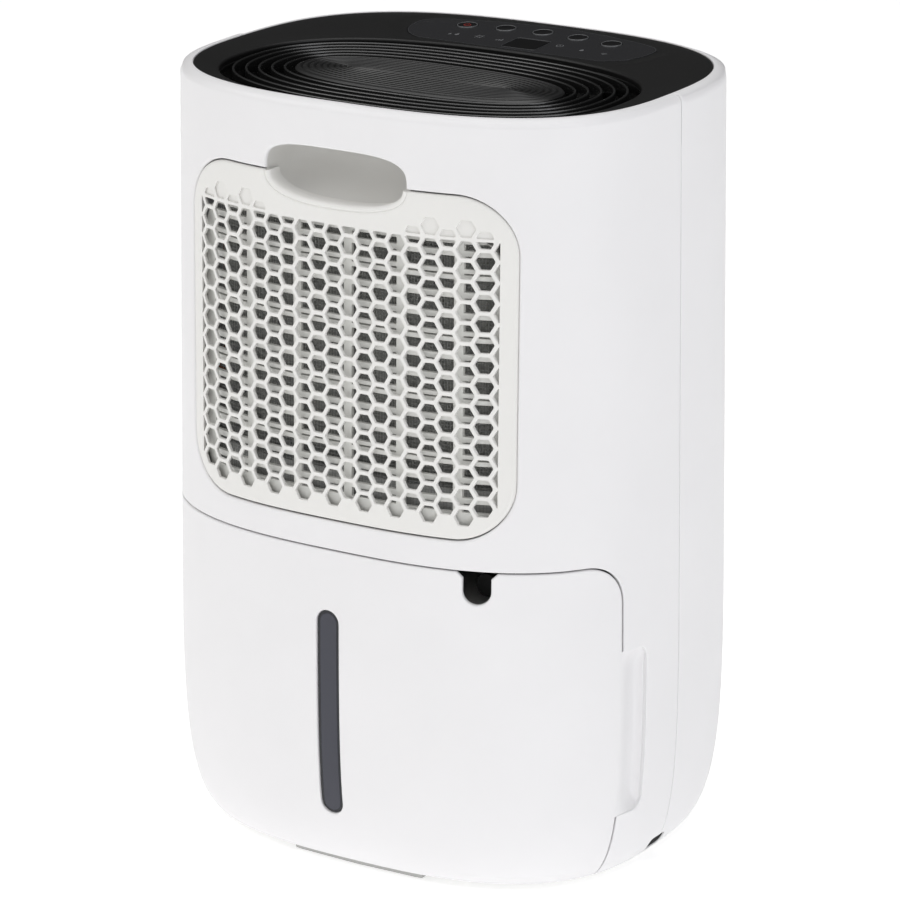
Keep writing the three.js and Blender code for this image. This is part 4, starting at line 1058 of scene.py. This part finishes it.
def control_panel():
    turn = np.arange(40) * 2 * pi / 40
    holes = [around(x, y, BUTTON_RADIUS + 0.5, turn)[::-1] for x, y in button_places()]
    holes.append(display_frame(0.4, 1.8)[::-1])
    return Sheet(panel_surface, 1.2).build(panel_outline(0), holes, edge=[0.35] + [0.2] * 6)


def display():
    return Sheet(panel_surface, 2.6).build(display_frame(0, 1.5), edge=0.35, grid=5.0)


def turned(section, x, y, closed=False):
    """A body of revolution about a button's axis, tilted with the panel."""
    turn = np.arange(48) * 2 * pi / 48
    return Solids().rings([np.column_stack([around(x, y, r, turn), z + PANEL_SLOPE * r * np.sin(turn)])
                           for r, z in section], closed)


def button(x, y):
    top = panel_plane(y) + 0.45
    edge = [(BUTTON_RADIUS - 0.75 + 0.35 * sin(t), top - 0.35 + 0.35 * cos(t))
            for t in np.linspace(0, pi / 2, 5)]
    dished = [(0.05, top - 0.3), (1.5, top - 0.28), (3.0, top - 0.2), (4.4, top - 0.08)]
    section = dished + edge + [(BUTTON_RADIUS - 0.4, top - 3), (BUTTON_RADIUS - 0.4, 459.0), (0.05, 459.0)]
    return turned(section[::-1], x, y)


def button_rim(x, y):
    top = panel_plane(y) + 0.5
    inner, outer = BUTTON_RADIUS - 0.35, BUTTON_RADIUS + 0.15
    middle, half = (inner + outer) / 2, (outer - inner) / 2
    crown = [(middle + half * cos(t), top - half + half * sin(t)) for t in np.linspace(0, pi, 7)]
    return turned(crown + [(inner, top - 2.5), (outer, top - 2.5)], x, y, closed=True)


def bead(path, width, lift):
    """A raised line on the panel that follows a closed path."""
    normal = -left_normals(path)
    rings = []
    for side, z in ((-0.5, -0.4), (-0.5, 0.5), (0, 1), (0.5, 0.5), (0.5, -0.4)):
        flat = path + normal * side * width
        rings.append(np.column_stack([flat, panel_plane(flat[:, 1]) + 0.05 + z * lift]))
    return Solids().rings(rings, closed=True)


def mark(solids, outline, lift=0.12):
    """A flat printed shape on the panel."""
    flat = np.array(outline, float)
    solids.rings([np.column_stack([flat, panel_plane(flat[:, 1]) + z]) for z in (lift - 0.2, lift)])


def hoop(x, y, radius, width, start, end):
    """Part of a flat ring, from one angle to another in degrees."""
    return joined(arc(x, y, radius + width, start, end), arc(x, y, radius, end, start))


def drop_shape(x, y, size):
    return joined(arc(x, y - 0.3 * size, 0.7 * size, 150, 390), [(x, y + 1.3 * size)])


def panel_marks():
    """Generic symbols beside the display: drops, a sun, a clock and level bars."""
    solids = Solids()
    mark(solids, drop_shape(-45, 76, 1.9))
    mark(solids, drop_shape(-49.5, 75, 1.3))
    mark(solids, hoop(-30, 77.5, 1.5, 0.5, 0, 350))
    for turn in np.radians(np.arange(6) * 60):
        ray = np.array([(2.5, -0.2), (3.6, -0.2), (3.6, 0.2), (2.5, 0.2)])
        across = np.array([cos(turn), sin(turn)])
        mark(solids, ray @ np.array([across, (-across[1], across[0])]) + (-30, 77.5))
    for k in range(3):
        mark(solids, rectangle(-17 + 1.6 * k, -16.1 + 1.6 * k, 74.5, 76 + 0.9 * k, 0.2))
    mark(solids, hoop(25, 80, 1.9, 0.45, 90, 430))
    mark(solids, rectangle(24.8, 25.2, 79.8, 81.4, 0.1))
    mark(solids, drop_shape(42, 77, 1.7))
    for k in range(3):
        mark(solids, hoop(58, 73.5, 0.8 + 1.1 * k, 0.45, 50, 130))
    return solids


def power_mark(x, y):
    """The ring and stroke on the power key's face, in its shallow dish."""
    solids = Solids()
    mark(solids, hoop(x, y, 1.9, 0.5, 120, 420), 0.36)
    mark(solids, rectangle(x - 0.25, x + 0.25, y + 0.6, y + 3.0, 0.1), 0.42)
    return solids


def band(size, top, width, low):
    """An upright band that follows the outlet's outline, with a rounded top."""
    path = track(size, 260)
    normal = -left_normals(path)
    half = width / 2
    crown = top - half
    section = [(-half, low), (-half, crown)]
    section += [(-half * cos(t), crown + half * sin(t)) for t in np.linspace(0.3, pi - 0.3, 6)]
    section += [(half, crown), (half, low)]
    return [np.column_stack([path + normal * side, np.full(len(path), z)]) for side, z in section]


def outlet_grille():
    solids = Solids()
    for i in range(BLADES):
        share = i / (BLADES - 1)
        size = [a + (b - a) * share for a, b in zip(OUTER_BLADE, INNER_BLADE)]
        solids.rings(band(size, OUTLET_TOP_Z - 0.3, BLADE_WIDTH, OUTLET_RIB_Z - 3), closed=True)
    solids.rings(band((OUTLET[0] + 0.9, OUTLET[1] + 0.9), OUTLET_TOP_Z - 3.4, 1.4, OUTLET_RIB_Z - 14),
                 closed=True)
    for x in (-92, -58, 58, 92):
        reach = 0.99 * OUTLET[1] * (1 - abs(x / OUTLET[0]) ** TRACK_POWER) ** (1 / TRACK_POWER)
        solids.box((x - 0.9, TRACK_Y - reach, OUTLET_RIB_Z - 4.5), (x + 0.9, TRACK_Y + reach, OUTLET_RIB_Z))
    solids.box((-OUTLET[0], TRACK_Y - 0.9, OUTLET_RIB_Z - 4.5), (OUTLET[0], TRACK_Y + 0.9, OUTLET_RIB_Z))
    return solids


RIDGE_PITCH = 3.9
RIDGE_HEIGHT = 1.3


def outlet_plate():
    """The oval plate: ridges run parallel to its edge and meet in chevrons along its middle."""
    count = 360
    depths = np.arange(0, PLATE[1] - 0.3, RIDGE_PITCH / 4)
    rings = []
    for depth in depths:
        wave = (0.0, 0.9, 1.0, 0.9)[round(4 * depth / RIDGE_PITCH) % 4]
        rise = RIDGE_HEIGHT * (wave - 0.5) * min(max((depth - 1.5) / 1.5, 0), 1)
        edge = 1.1 - sqrt(max(1.1 ** 2 - max(1.1 - depth, 0) ** 2, 0))
        flat = track((PLATE[0] - depth, PLATE[1] - depth), count)
        rings.append(np.column_stack([flat, np.full(count, OUTLET_TOP_Z - 0.5 - edge + rise)]))
    foot = np.column_stack([track(PLATE, count), np.full(count, OUTLET_RIB_Z + 0.4)])
    return Solids(sharp=25).rings([foot, *rings])


add_piece("top_cover_moulding", top_cover(), "casing", "trim_black", "top_cover")
add_piece("outlet_blades", outlet_grille(), "casing", "trim_black", "outlet_grille", look="outlet_black")
add_piece("outlet_centre", outlet_plate(), "casing", "trim_black", "outlet_plate", look="plate_black")
add_piece("panel_overlay", control_panel(), "casing", "panel_gloss", "control_panel")
add_piece("display_pane", display(), "casing", "display_glass", "display_window")
# raised lines round the panel and the display, in a lighter grey that paints a highlight along their edges
add_piece("panel_rim", bead(panel_outline(-0.1), 0.6, 0.12), "casing", "panel_gloss", look="panel_edge_painted_highlight")
add_piece("display_rim", bead(display_frame(0.9, 2, 2), 0.5, 0.2), "casing", "panel_gloss", look="panel_edge_painted_highlight")
add_piece("panel_symbols", panel_marks(), "casing", "panel_gloss", look="print_grey")
add_piece("power_symbol", power_mark(*button_places()[0]), "power_button", "panel_gloss", look="print_red")
for word, (px, py) in zip(BUTTONS, button_places()):
    body = f"{word}_button"
    add_piece(f"{word}_key", button(px, py), body, "panel_gloss", body, look="button_face")
    add_piece(f"{word}_key_rim", button_rim(px, py), body, "panel_gloss", look="button_ring")


# ---- The pieces that keep their CAD mesh ----
for name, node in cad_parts.items():
    if node.hide_render:
        continue
    slot = next((m.name.split(".")[0] for m in node.data.materials if m), "")
    node.data.materials.clear()
    node.data.materials.append(finishes.get(slot, finishes["inner_grey"]))


# ---- Floor, light and camera ----
AZIMUTH = radians(32.08)
ELEVATION = radians(17.634)
DISTANCE = 2.6638


def aimed(name, data, place, target):
    """Puts a light or a camera in the scene, turned towards the target."""
    thing = in_scene(name, data)
    thing.location = place
    thing.rotation_mode = "QUATERNION"
    thing.rotation_quaternion = (target - place).to_track_quat("-Z", "Y")
    return thing


scene = bpy.context.scene
scene.view_settings.view_transform = "Standard"
world = bpy.data.worlds.new("studio")
world.use_nodes = True
sky = world.node_tree
direction = add_node(sky, "TexCoord", {}, {})
lean = add_node(sky, "VectorMath", {1: (0.12, -0.99, 0.5)}, {0: (direction, "Generated")})
lean.operation = "DOT_PRODUCT"
fade = add_node(sky, "MapRange", {"From Min": -0.5, "From Max": 0.8, "To Min": 0.04, "To Max": 0.58},
                {"Value": (lean, "Value")})
fade.interpolation_type = "SMOOTHSTEP"
wire(sky, sky.nodes["Background"], {"Color": (1, 1, 1, 1)}, {"Strength": (fade, "Result")})
scene.world = world

FLOOR = 30000.0
square = np.array([(-1, -1, 0), (1, -1, 0), (1, 1, 0), (-1, 1, 0)])
floor_mesh = new_mesh("floor", FLOOR * square, [(0, 1, 2, 3)])
floor_paint = moulded("floor_paint", "f4f4f4", 0.9, grain=60.0, relief=0.01, mottle=0.004)
wire(floor_paint.node_tree, floor_paint.node_tree.nodes["Principled BSDF"],
     {"Emission Color": (1, 1, 1, 1), "Emission Strength": 0.5}, {})
floor_mesh.materials.append(floor_paint)
in_scene("floor", floor_mesh)

middle = Vector((0, -0.005, 0.235))
for name, place, size, power, colour in (("key_left", (-1.9, -1.7, 2.1), 1.4, 15, (1.0, 0.99, 0.97)),
                                         ("fill_right", (2.5, -0.8, 1.5), 1.4, 15, (0.93, 0.95, 1.0)),
                                         ("ceiling", (0.0, 0.2, 3.0), 3.0, 38, (1.0, 1.0, 1.0))):
    lamp = bpy.data.lights.new(name, "AREA")
    lamp.shape = "SQUARE"
    lamp.size = size
    lamp.energy = power
    lamp.color = colour
    aimed(name, lamp, Vector(place), middle)

sideways = Vector((cos(AZIMUTH), sin(AZIMUTH), 0))
backwards = Vector((sin(AZIMUTH) * cos(ELEVATION), -cos(AZIMUTH) * cos(ELEVATION), sin(ELEVATION)))
aim = Vector((0, WAIST_Y * MM, 0.2323)) + sideways * MM
camera_data = bpy.data.cameras.new("camera")
camera_data.sensor_width = 36
camera_data.lens = 176.9
scene.camera = aimed("camera", camera_data, aim + backwards * DISTANCE, aim)
